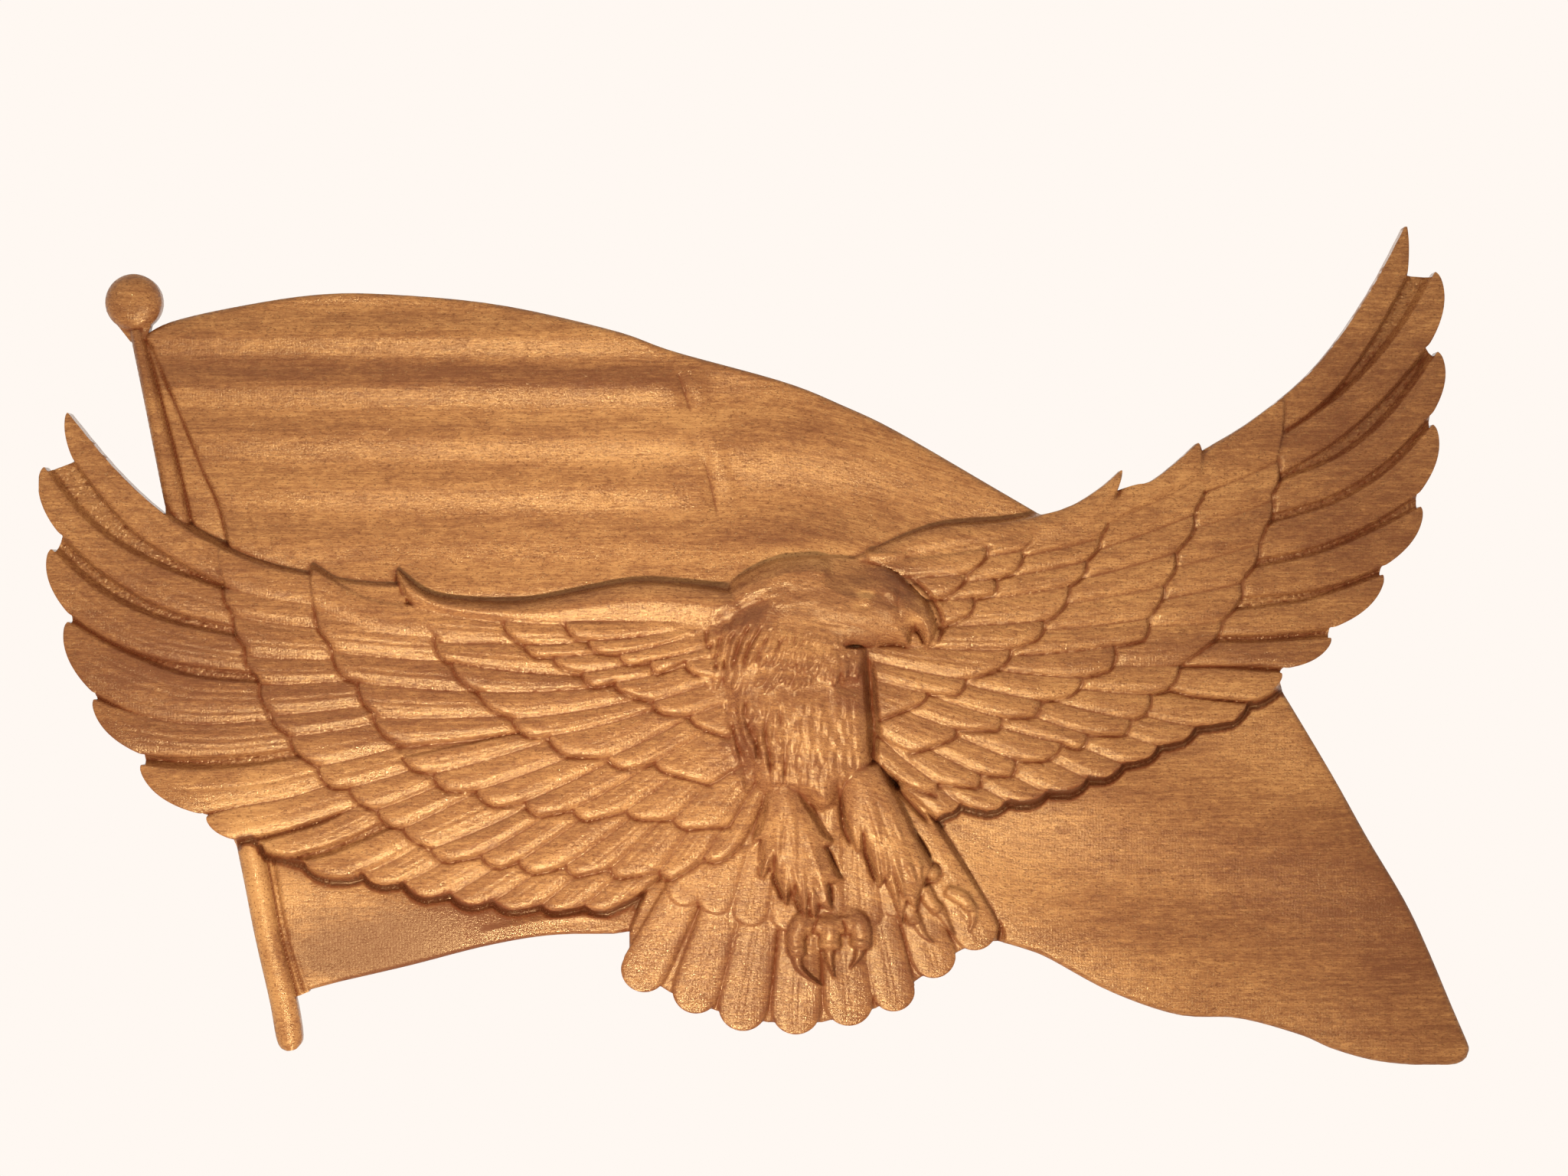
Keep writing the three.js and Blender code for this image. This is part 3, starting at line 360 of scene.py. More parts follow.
# Rows of coverts: the corners between their ends | the lowest place of each end | their roots
LEFT_ROWS = table("""
-168 -96 -150 -100.5 -130 -105.5 -112 -108.5 -91.5 -110 -73 -110 -51 -106
  | -159 -101.3 -141 -106.8 -121 -110.3 -103 -112 -84 -112.2 -64 -112
  | -128 -72 -115 -80 -95 -82 -78 -84 -63 -84 -47 -84 -30 -86;
-226 25 -222 13 -217 -4 -210.5 -16 -206 -29 -198 -38 -186 -51 -173 -60 -161 -69 -150 -77 -138 -86
    -117 -88.5 -101 -91 -81 -93 -62 -94 -41 -95.5 -22 -90 -6 -84
  | -223 16 -216.5 0 -212 -12 -207.5 -26 -200 -36 -192 -47 -180 -59.5 -163 -68.5 -155 -76 -143 -83
    -131 -91 -109 -93.5 -94 -96 -76 -97 -58 -98 -36 -98.5 -14 -90
  | -175 22 -172 8 -168 -4 -163 -12 -155 -22 -150 -29 -140 -38 -132 -46 -122 -52 -114 -58 -98 -68 -82 -66
    -66 -66 -44 -64 -34 -66 -21 -64 -8 -64 4 -62;
-187 17 -179.5 -2 -169 -15 -162 -30 -151.5 -42 -137 -54 -119 -61 -98 -66 -78 -69 -55 -69.5 -35 -73
    -12 -76
  | -181 2 -174 -13 -162 -28 -152 -41 -145 -52 -131 -61 -111 -67.5 -93 -71.5 -72 -73.5 -49 -73 -30 -77
  | -130 14 -130 -5 -112 -18 -95 -27 -88 -33 -76 -34 -62 -38 -48 -40 -34 -42 -20 -42 -8 -42 2 -52;
-142 17 -136 2 -129 -6.5 -118 -19 -103.5 -30.5 -88 -38 -63 -47 -43 -49 -20 -58
  | -136 4.5 -131 -6 -122 -16.5 -105 -29 -96 -38 -80 -46 -56 -51.5 -36 -53.5
  | -96 14 -92 3 -85 -11 -75 -17 -62 -24 -50 -28 -30 -30 -10 -27 2 -44;
-107 12 -98 1 -86 -4 -74 -11 -60 -15 -44 -23 -28 -29 -12 -38
  | -103 4.5 -93 -4 -81 -9 -69 -16.5 -55 -19.5 -39 -28 -23 -34
  | -72 12 -62 4 -52 0 -42 -4 -30 -8 -18 -14 -6 -20 4 -28;
-81 11 -71 3 -58 -3 -45 -6 -30 -6 -14 -14
  | -76 4 -67 -2 -54 -7 -42 -11 -26 -11
  | -50 12 -42 6 -32 4 -22 0 -10 -2 0 -8""")
RIGHT_ROWS = table("""
209 -24 187 -34 171 -42 156 -50 141 -56 124 -62 107 -66 87 -67 77 -73
  | 203 -31.5 180 -40 166 -47.5 148 -56 134 -62 115 -66.5 98 -69.5 80 -70.5
  | 150 -15 150 -24 138 -29 124 -35 112 -40 96 -46 80 -48 64 -45 54 -50;
222 79 219.5 62 214 44 206 27 198 11 180 -8 167.5 -20 159 -31 141 -37 130 -41 110 -48 95 -54 77 -58
    62 -58
  | 219 65 216 51 208 31 204.5 18.5 193.5 2.5 174 -18 165 -28.5 156 -37 137 -43 122 -48 108 -54.5
    94 -59.5 80 -64
  | 172 60 168 46 160 31 156 19 150 10 132 -6 118 -14 110 -17 100 -21 88 -28 72 -30 64 -37 54 -39 46 -44;
190 74 186 56 178 40 173 26 166.5 12 152 0.5 139 -13 121 -23 104 -30 85 -35 66 -45
  | 187 60 183 46 175 29 171 19 164 3 150 -9.5 132 -21 118 -29 102.5 -35 83 -39
  | 134 48 130 38 124 27 118 18 112 8 106 -3 96 -8 72 -10 62 -15 50 -20 44 -32;
149 56 146 46.5 140 36.5 133 26 122 11 108 -1 89 -14 72.5 -19.5 52 -31
  | 147 49 143 40 138 30 126 13 119 3.5 103 -9 85 -20 69 -24
  | 96 42 92 36 86 28 80 20 70 10 58 2 46 -4 38 -9 30 -18;
118 50 113 41 101 29 92 21 80 9 | 115 43 109 32 101 23 90 14 | 74 42 70 36 62 28 58 20 50 8;
98 42 89 31 80 21 | 94 35 86 26 | 62 38 57 30 50 20""")
SHOULDERS = [line("-70 13 -14 14 -10 -30 -24 -12 -40 3"), line("64 40 48 40 44 0 52 8 56 26")]
WING_MARKS = table("""
2.4 -0.9 | -150.5 31 -150.5 25 -150 20;
0.8 -0.35 | -214 10 -202 7.5 -190 5;
1.6 -1.2 | 155 76 156 70 152 62;
1.2 -0.7 | 189 86 190 80 188 74;
1 -0.5 | 226 105 225 98 224 90""")

# The tail: where each feather ends, with its half width
TAIL_BASE = line("""
-46 -102 -54 -122 -54 -136 -37 -147 -17 -155 5 -160 28 -160 51 -154 67 -143 85 -130.5 101 -122 103 -123
  99 -112 88 -95 77 -77 50 -70 0 -70 -20 -88""")
TAIL_SIDE = line("75 -72 80 -84 90 -97 97 -110 104 -121 104 -126")
TAIL_ENDS = [
    (-47.5, -137, 9.5), (-25.5, -146, 9.6), (-5.5, -153, 10), (17, -154.5, 10), (39.5, -151, 9.8),
    (58.5, -146, 8.7), (75.5, -131.5, 9), (93, -119.5, 9.2)]
TAIL_ROOT = (-9, -62)
TAIL_ORDER, COVERT_ORDER = (7, 0, 6, 1, 5, 2, 4, 3), (0, 1, 2, 3, 4, 5, 6)
COVERT_ENDS = [
    (-30, -102, 8), (-16.5, -105, 8.5), (-2, -110, 8.5), (14, -112, 8.5), (30, -113, 8.5), (46, -111, 8.5),
    (59, -108, 6.5)]
COVERT_ROOT = (-9, -54)
ROOT_SPACING = 10

# The body, and its locks: rows count half lift | first row's starts | last row's | run at either end
BODY_OUTLINE = line("""
-18 25 -21 14 -21 2 -17 -12 -13 -28 -11 -40 -6 -49 0 -58 4 -63 14 -64 21 -64 27 -70 34 -70 37 -61 44 -62
  52 -55 51 -40 50 -20 49 0 50 20 44 36 25 38.5 10 37 0 33.5 -9 29""")
BODY_MIDDLE, BODY_REACH = (19, -12), (38, 62)
CAPE_FRINGE = line("-22 9 -18 -9 -8 -15 6 -10 20 -13 34 -17 44 -13 50 -2")
CAPE_NAPE = line("50 20 44 36 25 39 10 37.5 0 34 -9 29.5 -18 25")
BODY_SHAPING = table("""
6.5 -2.4 | -21 8 -8 14 8 22;
9 0.8 | -16 19 0 29 20 33 38 33;
3.4 -6.5 | 47 3 48 -10 49 -22 50 -34 50 -46 51 -55;
5 -1.6 | 33 -15 40 -17 46 -15;
15 1 | 18 -15 20 -35 24 -52""")
PLUMAGE = table("""
6 6 1.3 0.5 | 41 35 26 36 9 34 -6 28 | 36 19 26 20 14 19 2 15 | -12 0.5 -10 -6;
4 6 2.1 1.5 | -16 14 -8 17 0 18 8 14 | -15 -4 -7 -4 2 -6 10 -8 | -4 -14 -6 -12;
4 6 1.6 1.7 | 8 12 16 9 24 6 | 10 -6 18 -8 27 -8 | -4.5 -9 -2 -7;
6 8 1.4 1.1 | 22 9 34 6 46 4 | 22 -8 34 -9 46 -8 | -1.6 -4.6 0.2 -4.6;
4 5 2 1.4 | -12 -14 -4 -16 4 -18 11 -20 | -8 -42 -2 -44 5 -46 12 -46 | 1.5 -17 0.5 -15;
4 9 1.7 0.75 | 10 -16 26 -19 44 -20 | 13 -40 28 -42 45 -40 | 0 -10 0.5 -10;
4 9 1.2 1 | 12 -38 24 -41 38 -42 | 12 -52 24 -54 42 -54 | 0.6 -8 -0.4 -8""")
BODY_LOCKS = table("""
1.7 2.2 | 34 -5 34 -11 33 -17;
1.7 2.3 | 38.5 -3 38 -9 37.5 -15;
1.7 2.3 | 43.5 -2 43.5 -8 43 -13.5;
1.4 1.9 | 2 -24 -1 -30 -3.5 -36;
6.5 1.8 | 28 -50 28.5 -60 28 -70""")
BODY_MARKS = table("""
1.6 -1.5 | -20.5 8 -21 3 -19 -2;
1.8 -1.9 | -14.4 5.4 -16.2 -0.6 -17.4 -6.6 -15.8 -11.4;
1.8 -1.9 | -8.4 7.8 -12 0.6 -13.2 -6.6 -12 -12.6;
1.8 -1.8 | -2.4 10.2 -6 3 -9 -5.4 -10 -12;
1.7 -1.6 | 3 10.2 -1.2 3 -4.2 -4.2 -5.4 -11;
1.7 -1.5 | 7 9 3.5 0.6 0 -7.6;
1.6 -1.3 | 11 5.2 9 -3 6 -9;
1.7 -1.6 | -12.6 -22 -11 -31 -7.6 -41;
1.8 -1.9 | -9 -24.6 -7.8 -33 -4.8 -41.4 -2.4 -47;
1.6 -1.5 | -4.6 -22 -4.4 -30 -1.8 -38;
1.8 -1.8 | -1.8 -25.8 -2 -34.2 0.4 -42.6 2.4 -50;
1.7 -1.6 | 4.8 -28.2 4.2 -37.8 6 -47.4 7.2 -55;
1.6 -1.3 | 12 -39 12.6 -46.2 12 -57;
1.4 -0.9 | 18 -44 18 -50 17 -57;
1 -1.2 | -10 -32 -8 -42 -6 -48;
1 -1.2 | 0 -33 0.5 -42 0 -50;
0.7 -0.8 | 10 -28 10.5 -32 10 -36;
1 -1.2 | 5 -45 6 -52 6 -60;
0.8 -0.9 | 12 -50 12 -58;
0.6 -0.5 | 23.5 -57 25 -62 26.5 -68;
0.6 -0.5 | 27 -56 27.6 -62 28 -68;
0.6 -0.5 | 30.5 -56 30.5 -62 30 -67;
0.9 0.8 | 36 -56 36.3 -60 36 -66""")

HEAD_OUTLINE = line("""
22 38.5 35 38.5 46 37 55 34.5 61 31 65 27 69 23.5 73 19 76 14 77.3 9 76 4 72.4 -1 71.2 2.5 69.6 5.6
  67.6 7.6 66.4 6 65.8 2 64.6 0.2 60 1.6 54 1 46 -0.5 38 0 26 10 16 20 16 32""")
EYE, EYE_RADIUS = (46.6, 19.4), 3.9
EYE_TURN = (0.985, 0.17)
HEAD_SHAPING = table("""
4 0.9 | 36 25.5 46 26.5 55 25 63 21;
3.2 -1 | 51 20.5 57 18.5 63 17;
4.2 0.6 | 32 15 44 12.5 55 12;
1.3 -0.6 | 62.5 29 60.5 22 60.5 15 62 10;
2.2 0.5 | 64 26 70 20 73 13 73 6""")
HEAD_MARKS = table("""
1.7 -2 | 64 30.5 70.4 25.6 75.6 19.4 78.9 12 78.8 6 75.6 -1.4;
0.9 -1.6 | 66.6 7.4 65 4.6 64.9 1.6;
1.2 -2.2 | 67.6 8.2 69.8 5 72 0;
1.1 -1.2 | 51 0.4 56 0.9 61 0.5 66 -0.9;
2.2 -0.7 | 55 26.6 60 24.4 65 20.6;
1.6 -0.45 | 40 22.4 47 23.2 54 22 60 19.6;
1.5 -0.6 | 25 10.6 33 9.8 41 8.6 48 6.4 53 2;
1 -0.45 | 67.5 8.6 61 8.4 54 9;
1 -0.5 | 65.5 18.6 68 17.2;
0.9 -0.2 | 60 30 50 33.5 38 35;
0.9 -0.2 | 57 28 47 30.5 34 31.5;
0.9 -0.2 | 36 28.5 26 28 18 25;
0.9 -0.2 | 40 16.5 32 16 24 13.5;
0.9 -0.2 | 41 19.5 33 20 24 18;
0.9 -0.2 | 39 23 31 24 21 22;
0.9 -0.16 | 46 14 38 13 30 12.6;
0.9 -0.16 | 56 14.5 49 14 42 15.6;
0.8 -0.18 | 52 31.5 43 34 33 34""")

LEFT_LEG_OUTLINE = line("""
8 -52 4 -63 1 -74 -1 -82 2 -82 1 -90 2 -99 6 -94 8 -98 13 -110 15 -104 18 -110 21 -117 23 -112 25 -116
  27 -110 32.5 -112 31 -101 37 -99 33 -92 30 -85 33 -83 27 -73 20 -61 16 -52""")
LEFT_LEG_LOCKS = table("""
1.4 1.6 | 5 -80 5 -90 3 -99;
1.2 1.4 | 6.5 -80 7 -90 6 -99;
1.4 1.4 | 12 -90 12.5 -100 13 -109;
1.3 1.3 | 15 -88 17 -97 19 -106;
1.4 1.6 | 19 -90 20 -101 21 -114;
1.2 1.2 | 24 -104 24 -110 23 -115;
1.6 1.2 | 26 -92 29 -100 30 -108;
1.8 0.8 | 10 -70 9 -82 9 -94;
1.8 0.7 | 15 -66 16 -78 17 -90;
1.8 0.9 | 21 -72 24 -84 27 -96;
1.4 1.2 | 2 -72 1 -79 -1 -84""")
LEFT_LEG_MARKS = table("""
1.9 -2.6 | 5 -62 2 -75 0 -83;
1.4 -2 | 3 -84 2 -92 2 -100;
1.9 -2.4 | 8 -84 8 -98 13 -110;
1.5 -2.2 | 17 -98 17 -107 21 -116;
1.1 -1.6 | 23 -103 22 -111;
0.9 -1.2 | 24 -101 28 -108;
2 -3 | 17 -60 24 -70 30 -80 33 -83;
1.6 -2.2 | 30 -84 34 -94 37 -100;
1.3 -2 | 32 -100 32 -110;
0.8 -0.5 | 13 -64 12 -76 11 -88;
0.8 -0.5 | 18 -70 18 -82 18 -92;
0.8 -0.5 | 22 -74 24 -84 27 -94""")
RIGHT_LEG_OUTLINE = line("""
38 -50 36 -63 38 -74 43 -87 46 -86 49 -93 52 -102 55 -99 58 -106 62 -117 64 -108 68 -112 70 -104 75 -93
  70 -84 66 -76 60 -64 52 -50""")
RIGHT_LEG_LOCKS = table("""
1.8 1.7 | 40 -66 41 -76 43 -87;
1.2 1.3 | 42 -68 43.5 -78 44 -86;
1.5 1.6 | 49 -80 51 -90 53 -101;
1.3 1.4 | 53 -82 55 -91 56 -100;
1.6 1.6 | 57 -84 60 -95 63 -106;
1.8 1.6 | 62 -86 65 -93 68 -100;
1.5 1.3 | 66 -84 69 -91 70 -98;
2 0.7 | 46 -60 50 -72 53 -84;
2 0.7 | 53 -58 58 -70 62 -82""")
RIGHT_LEG_MARKS = table("""
1.7 -2.6 | 36 -61 37 -75 41 -86;
1.9 -2.6 | 45 -75 47 -88 52 -102;
1.8 -2.4 | 57 -94 61 -103 62 -118;
2 -3.4 | 52 -51 60 -60 69 -70 76 -77;
1.3 -2 | 64 -75 71 -84 75 -92;
0.8 -0.5 | 50 -62 54 -74 58 -84;
0.8 -0.5 | 44 -62 48 -72 51 -82;
0.8 -0.5 | 56 -66 61 -76 66 -86""")

# The feet: half widths at the middle and the end of a toe | the toe | its claw
LEFT_TOES = table("""
4.6 4 | 26 -114 20 -117 17 -123 17.6 -130.5 | 17.6 -130 18.5 -136.5 26 -143;
4.9 5 | 31.5 -113 31.5 -120 31.5 -127.5 | 31 -127 31.4 -133 33 -139.5;
5.1 4.7 | 38 -114 43 -117 44.8 -121.5 44.5 -127 | 44.5 -127 43.6 -131.5 41 -135.5""")
LEFT_PALM = line("""
20 -113 28 -115 36 -114.5 43 -113 46 -118 44 -123 37.5 -122 31 -124 25.5 -122 18 -124 17 -118""")
RIGHT_TOES = table("""
3.6 3.4 | 63 -106 65.5 -112 67.5 -117 | 68 -116 71 -122 75.5 -126;
3.4 3.2 | 72 -103 74 -108 77.5 -112 | 78 -112 81 -117 84 -122;
3.4 3 | 82 -104 88 -107 91.5 -111.5 | 92 -111 92.5 -116 91 -121""")
TOE_MARKS = table("""
1.1 -1.6 | 26.4 -115 24.6 -119 23.8 -124;
1.1 -1.6 | 36.6 -115.5 38 -119.5 38.2 -124;
0.8 -0.5 | 29.6 -116 29.2 -121 28.8 -125;
0.8 -0.5 | 33.4 -116 33.8 -121 34.2 -125;
0.8 -0.6 | 13.8 -126.4 17.4 -127.4 21.2 -126.8;
0.8 -0.6 | 27 -124.4 31.4 -125 35.8 -124.4;
0.8 -0.6 | 40.4 -123.6 44.6 -124.2 48.6 -123.2""")
CLAW_HALF_WIDTHS = [2.8, 1.6, 0.4]
KNOB, KNOB_RADIUS = (75, -96), 3.2

# Levels of the carving, in millimetres out from the wall
FLAG_FACE, HEM_FLOOR, POLE_EDGE, POLE_CREST, BALL_CREST = 10.0, 9.3, 8.6, 12.5, 15.5
GAP_ROOT, GAP_TIP, FLIGHT_ROOT, FLIGHT_TIP, ROW_STEP = 14.2, 11.8, 16.0, 17.9, 0.95
ROW_ROOT, ROW_TIP, ROW_BED = 15.8, 17.2, 1.3
ARM_CREST, ARM_TIP, SHOULDER_LEVEL = 23.0, 20.8, 20.0
BODY_EDGE, BODY_CREST, HEAD_RIM, HEAD_CREST = 17.0, 26.5, 17.5, 30.1
LEG_EDGE, LEG_CREST, TAIL_TIP, COVERT_TIP, TAIL_FLOOR = 17.5, 23.0, 13.7, 15.2, 11.6
HAND_TIPS = (18.0, 19.6, 18.4, 19.6)
RIGHT_ARM_ROOT, BALL_EDGE, KNOB_LEVEL = 19.0, 9, 15
PALM_EDGE, PALM_CREST = 15.0, 18.3

# How deep and wide the cuts are, in millimetres
VANE_DEPTH, VANE_HALF = 0.32, 0.8
ROW_CUT, ROW_CUT_WIDTH, ROW_WALL = 1.8, 2.2, 3.4
FOOT_CUT, FOOT_REACH = 1.6, 3.5
COVERT_RISE, COVERT_LEAN, COVERT_FALL, FALL_REACH = 1.4, 0.25, 0.7, 3.5
LINE_SPACING, GAP_STIPPLE, GROOVE = 3.2, 0.35, 0.6
EDGE_STATIONS, CAP_STATIONS, HIDDEN_SHARE = 12, 9, 0.3

# The flag's waves, from one crest to the next, and how high they stand; its rise towards the eagle
LEFT_RIPPLE, RIGHT_RIPPLE, LOW_WAVE, CROSS_WAVE = 22, 42, 62, 130
RIPPLE_HEIGHT, CROSS_HEIGHT = 0.9, 0.5
EAGLE_RISE, RISE_REACH = 3.4, 20
SWELL_RISE, SWELL_MIDDLE, SWELL_REACH = 1.5, (44, 36), (30, 18)

# Lines along a feather of the tail: place across it, sway, depth, reach, share of the end, fade
FAN_LINES = (
    (-0.055, 0, 0.3, 0.6, 0.75, 3), (0.055, 0, 0.3, 0.6, 0.75, 3),
    (-0.3, 0.03, 0.1, 0.7, 0.6, 4), (0.27, 0.03, 0.1, 0.7, 0.6, 4))
FAN_ROOT_HALF, FAN_RISE, FAN_OVERLAP, COVERT_OVERLAP, COVERT_RIM = 5.4, 0.9, 0.55, 0.3, 0.3

# The eye: the socket's half sizes and depth, the ball's rise, and its tilt with the rim where that fades
SOCKET, SOCKET_DEPTH, EYE_RISE, EYE_FLATNESS = (6.5, 4.6), 1.1, 1.2, 1.15
EYE_TILT, TILT_RIM = (0.1, 0.28), (2.2, 4.2)

# A lock's half widths along it, as parts of its half width, and how much of its height its edges keep
LOCK_SHAPE, LOCK_END, LOCK_EDGE, LOCK_RIM = (0.7, 1, 0.85), 0.25, 0.25, 0.35

# The groove along the eagle's foot, and the shade painted along it: steps that count as under it, how far
# the painted shade climbs, and how dark it is painted
UNDER_STEPS, CLIMB_STEPS, CLIMB_HEIGHT = 8, 6, 5.5
UNDER_SHADE, SIDE_SHADE, CLIMB_SHADE, SIDE_CUT = 1.15, 0.6, 1.1, 0.3


def vane_lines(strip, count):
    """Fine lines cut along a feather, which drift a little across it and fade at both ends."""
    cut = np.zeros(strip.v.shape)
    fade = smooth(strip.u, 0.0, 0.3) * smooth(1.02 - strip.u, 0.0, 0.12)
    for k in range(count):
        place = (k + 1) / (count + 1) + chance.uniform(-0.07, 0.07)
        drift = chance.uniform(-0.06, 0.06)
        away = np.abs(strip.v - place - drift * (strip.u - 0.5)) * strip.wide
        cut += VANE_DEPTH * chance.uniform(0.5, 1.3) * fade * np.clip(1 - away / VANE_HALF, 0, 1)
    return cut


def feather(lead, trail, root, tip, stations, lines, rise=1.1, walls=(2.5, 4.0),
            crest=(0.64, 2.2, 2.6), groove=0.0, **shape):
    """A feather between two edges, crowned across its width. groove is cut into what lies beside it."""
    strip = Strip(curve(lead, stations), curve(trail, stations), **shape)
    face = mix(root, tip, np.clip(strip.u, 0, 1)) + rise * (crown(strip.v, *crest) - 1)
    face = face - vane_lines(strip, lines)
    fall = np.minimum(strip.lead * walls[0], strip.trail * walls[1])
    fall = np.minimum(fall, np.minimum(strip.end, strip.root + 1) * 2.5)
    if groove:
        steep = np.where(strip.trail * walls[1] < strip.lead * walls[0], walls[1], walls[0])
        under = height[strip.window] - face - np.minimum(fall, 0)
        near = (under > -0.3) & (strip.edge < 0.5) & (strip.end > -0.5) & (inside[strip.window] > 0)
        height[strip.window] -= groove * near * np.clip(1 - under / (1.3 * steep), 0, 1)
    lay(strip.window, face, strip.edge, bevel=0.5, fall=np.minimum(fall, 0))


def bent(start, end, bow):
    """A line from start to end, bowed sideways by a part of its length."""
    run = end - start
    bend = (start + end) / 2 + bow * np.array([-run[1], run[0]])
    part = np.linspace(0, 1, EDGE_STATIONS)[:, None]
    return (1 - part) ** 2 * start + 2 * part * (1 - part) * bend + part ** 2 * end


def cap_line(start, notch, end, away):
    """The line of a feather's end, from its leading corner round its tip to its trailing corner."""
    run = notch - start
    out = np.array([-run[1], run[0]]) / np.hypot(*run)
    out = out if out @ away > 0 else -out
    part = np.linspace(0, 1, CAP_STATIONS)[:, None]
    first = start + run * part + out * 0.12 * np.hypot(*run) * np.sin(np.pi * part)
    second = notch + (end - notch) * part[1:]
    return np.concatenate([first, second])


def cut_round(strips):
    """Cuts a V just outside a row of feathers, deepest at their ends, so that they stand clear."""
    cut = np.zeros_like(height)
    for strip in strips:
        share = mix(1.0, 0.4, smooth(strip.end, -0.5, 2.5))
        here = ROW_CUT * share * np.clip(1 + np.minimum(strip.edge, 0) / ROW_CUT_WIDTH, 0, 1)
        cut[strip.window] = np.maximum(cut[strip.window], here)
    height[inside > 0] -= cut[inside > 0]


def feather_row(corners, notches, roots, bow, root, tip):
    """A row of coverts on a bed of their own, which overlap the next row out."""
    hidden = roots + HIDDEN_SHARE * (roots - corners)
    edges = [bent(start, end, bow) for start, end in zip(hidden, corners)]
    strips = []
    for k, notch in enumerate(notches):
        cap = cap_line(corners[k], notch, corners[k + 1], corners[k] - roots[k])
        strips.append(Strip(edges[k], edges[k + 1], cap=cap, corner=0.6))
    plate(np.concatenate([hidden, corners[::-1]]), root - ROW_BED, 1, narrower=0.5, bevel=0.1)
    cut_round(strips)
    for strip in strips:
        lean = chance.uniform(-COVERT_LEAN, COVERT_LEAN)
        face = mix(root, tip + lean, np.clip(strip.u, 0, 1))
        face = face + COVERT_RISE * (crown(strip.v, 0.66, 2.2, 2.0) - 1)
        face = face - COVERT_FALL * np.clip(1 - strip.end / FALL_REACH, 0, 1) ** 2
        count = int(np.clip(np.median(strip.wide) / LINE_SPACING, 1, 4))
        lay(strip.window, face - vane_lines(strip, count), strip.edge, wall=ROW_WALL, bevel=0.5)


def gap_floor(upper, lower):
    """The floor of the gap between two flight feathers, under both as far as their middles."""
    (lead, trail), (next_lead, next_trail) = upper, lower
    parts = np.linspace(0.05, 0.86, 9)
    wide = np.hypot(*(rail(trail, [0.75]) - rail(next_lead, [0.75]))[0])
    first = np.concatenate([rail((lead + trail) / 2, parts), trail[-1:]])
    second = np.concatenate([rail((next_lead + next_trail) / 2, parts), rail(next_lead, [0.97])])
    window, x, z, edge = field(np.concatenate([first, second[::-1]]), 2)
    _, run = line_distance(first, x, z)
    deepest = mix(GAP_ROOT, GAP_TIP, smooth(wide, 3.2, 6.0))
    stipple = GAP_STIPPLE * chance.standard_normal(x.shape)
    height[window] = np.where(edge > 0, BELOW, height[window])
    lay(window, mix(GAP_ROOT, deepest, smooth(run, 0.25, 0.9)) + stipple, edge, bevel=0.1)
    gaps[window] |= edge > 0


def wing(primaries, rows, point, bows):
    """A wing's flight feathers, and the rows of coverts over them. point is the first feather's bulge."""
    for upper, lower in zip(primaries, primaries[1:]):
        gap_floor(upper, lower)
    for k, (lead, trail) in enumerate(primaries):
        bulge = np.hypot(*(lead[-1] - trail[-1])) * (0.16 if k else point)
        feather(lead, trail, FLIGHT_ROOT, FLIGHT_TIP, 22, 3, bulge=bulge, corner=1.4 if k else 0.8,
                walls=(1.3 if k else 2.5, 3.0), groove=GROOVE)
    for k, (row, bow) in enumerate(zip(rows, bows)):
        feather_row(*row, bow, ROW_ROOT + k * ROW_STEP, ROW_TIP + k * ROW_STEP - (0 if k else 0.6))


def bar_sides(places, halves, count):
    """The two sides of a form along a line, from its half widths."""
    middle = curve(places, count)
    ahead = np.gradient(middle, axis=0)
    ahead /= np.hypot(*ahead.T)[:, None]
    half = rail([[w, w] for w in halves], np.linspace(0, 1, count))
    side = np.stack([-ahead[:, 1], ahead[:, 0]], axis=1)
    return middle + side * half, middle - side * half


def bar(places, halves, edge, crest, count=14):
    """A half-round bar along a line."""
    strip = Strip(*bar_sides(places, halves, count), bulge=0.5)
    across = np.clip(1 - (2 * strip.v - 1) ** 2, 0, 1)
    lay(strip.window, mix(edge, crest, np.sqrt(across)), strip.edge, bevel=0.2)


def swell(part):
    """A quarter circle's rise."""
    part = np.clip(part, 0, 1)
    return np.sqrt(part * (2 - part))


def swollen(outline, reach, edge_level, crest, bevel=0.6, wall=2.5):
    """A form that rises from its outline to its crest within the given distance, as a cushion does."""
    window, _, _, edge = field(outline, 5)
    lay(window, mix(edge_level, crest, swell(edge / reach)), edge, wall=wall, bevel=bevel)


def plume(places, half, lift, base):
    """A pointed lock of plumage: it leaves the base surface at its root and stands clear at its tip."""
    halves = [half * share for share in LOCK_SHAPE] + [LOCK_END]
    strip = Strip(*bar_sides(places, halves, 10), bulge=0.2)
    across = np.clip(crown(strip.v, 0.5, 1.8, 1.8), 0, 1)
    rise = lift * smooth(strip.u, 0.0, 0.75) * mix(LOCK_EDGE, 1, across)
    rise = rise * smooth(strip.edge, -LOCK_RIM, 0.15)
    held = (inside[strip.window] > 0) & (strip.edge > -LOCK_RIM)
    lifted = np.maximum(height[strip.window], base[strip.window] + rise)
    height[strip.window] = np.where(held, lifted, height[strip.window])


def plumes(locks, base):
    for ((half, lift),), places in locks:
        plume(places, half, lift, base)


def wave(place, length):
    """A wave between -1 and 1 with the given length from crest to crest."""
    return np.cos(2 * np.pi * place / length)


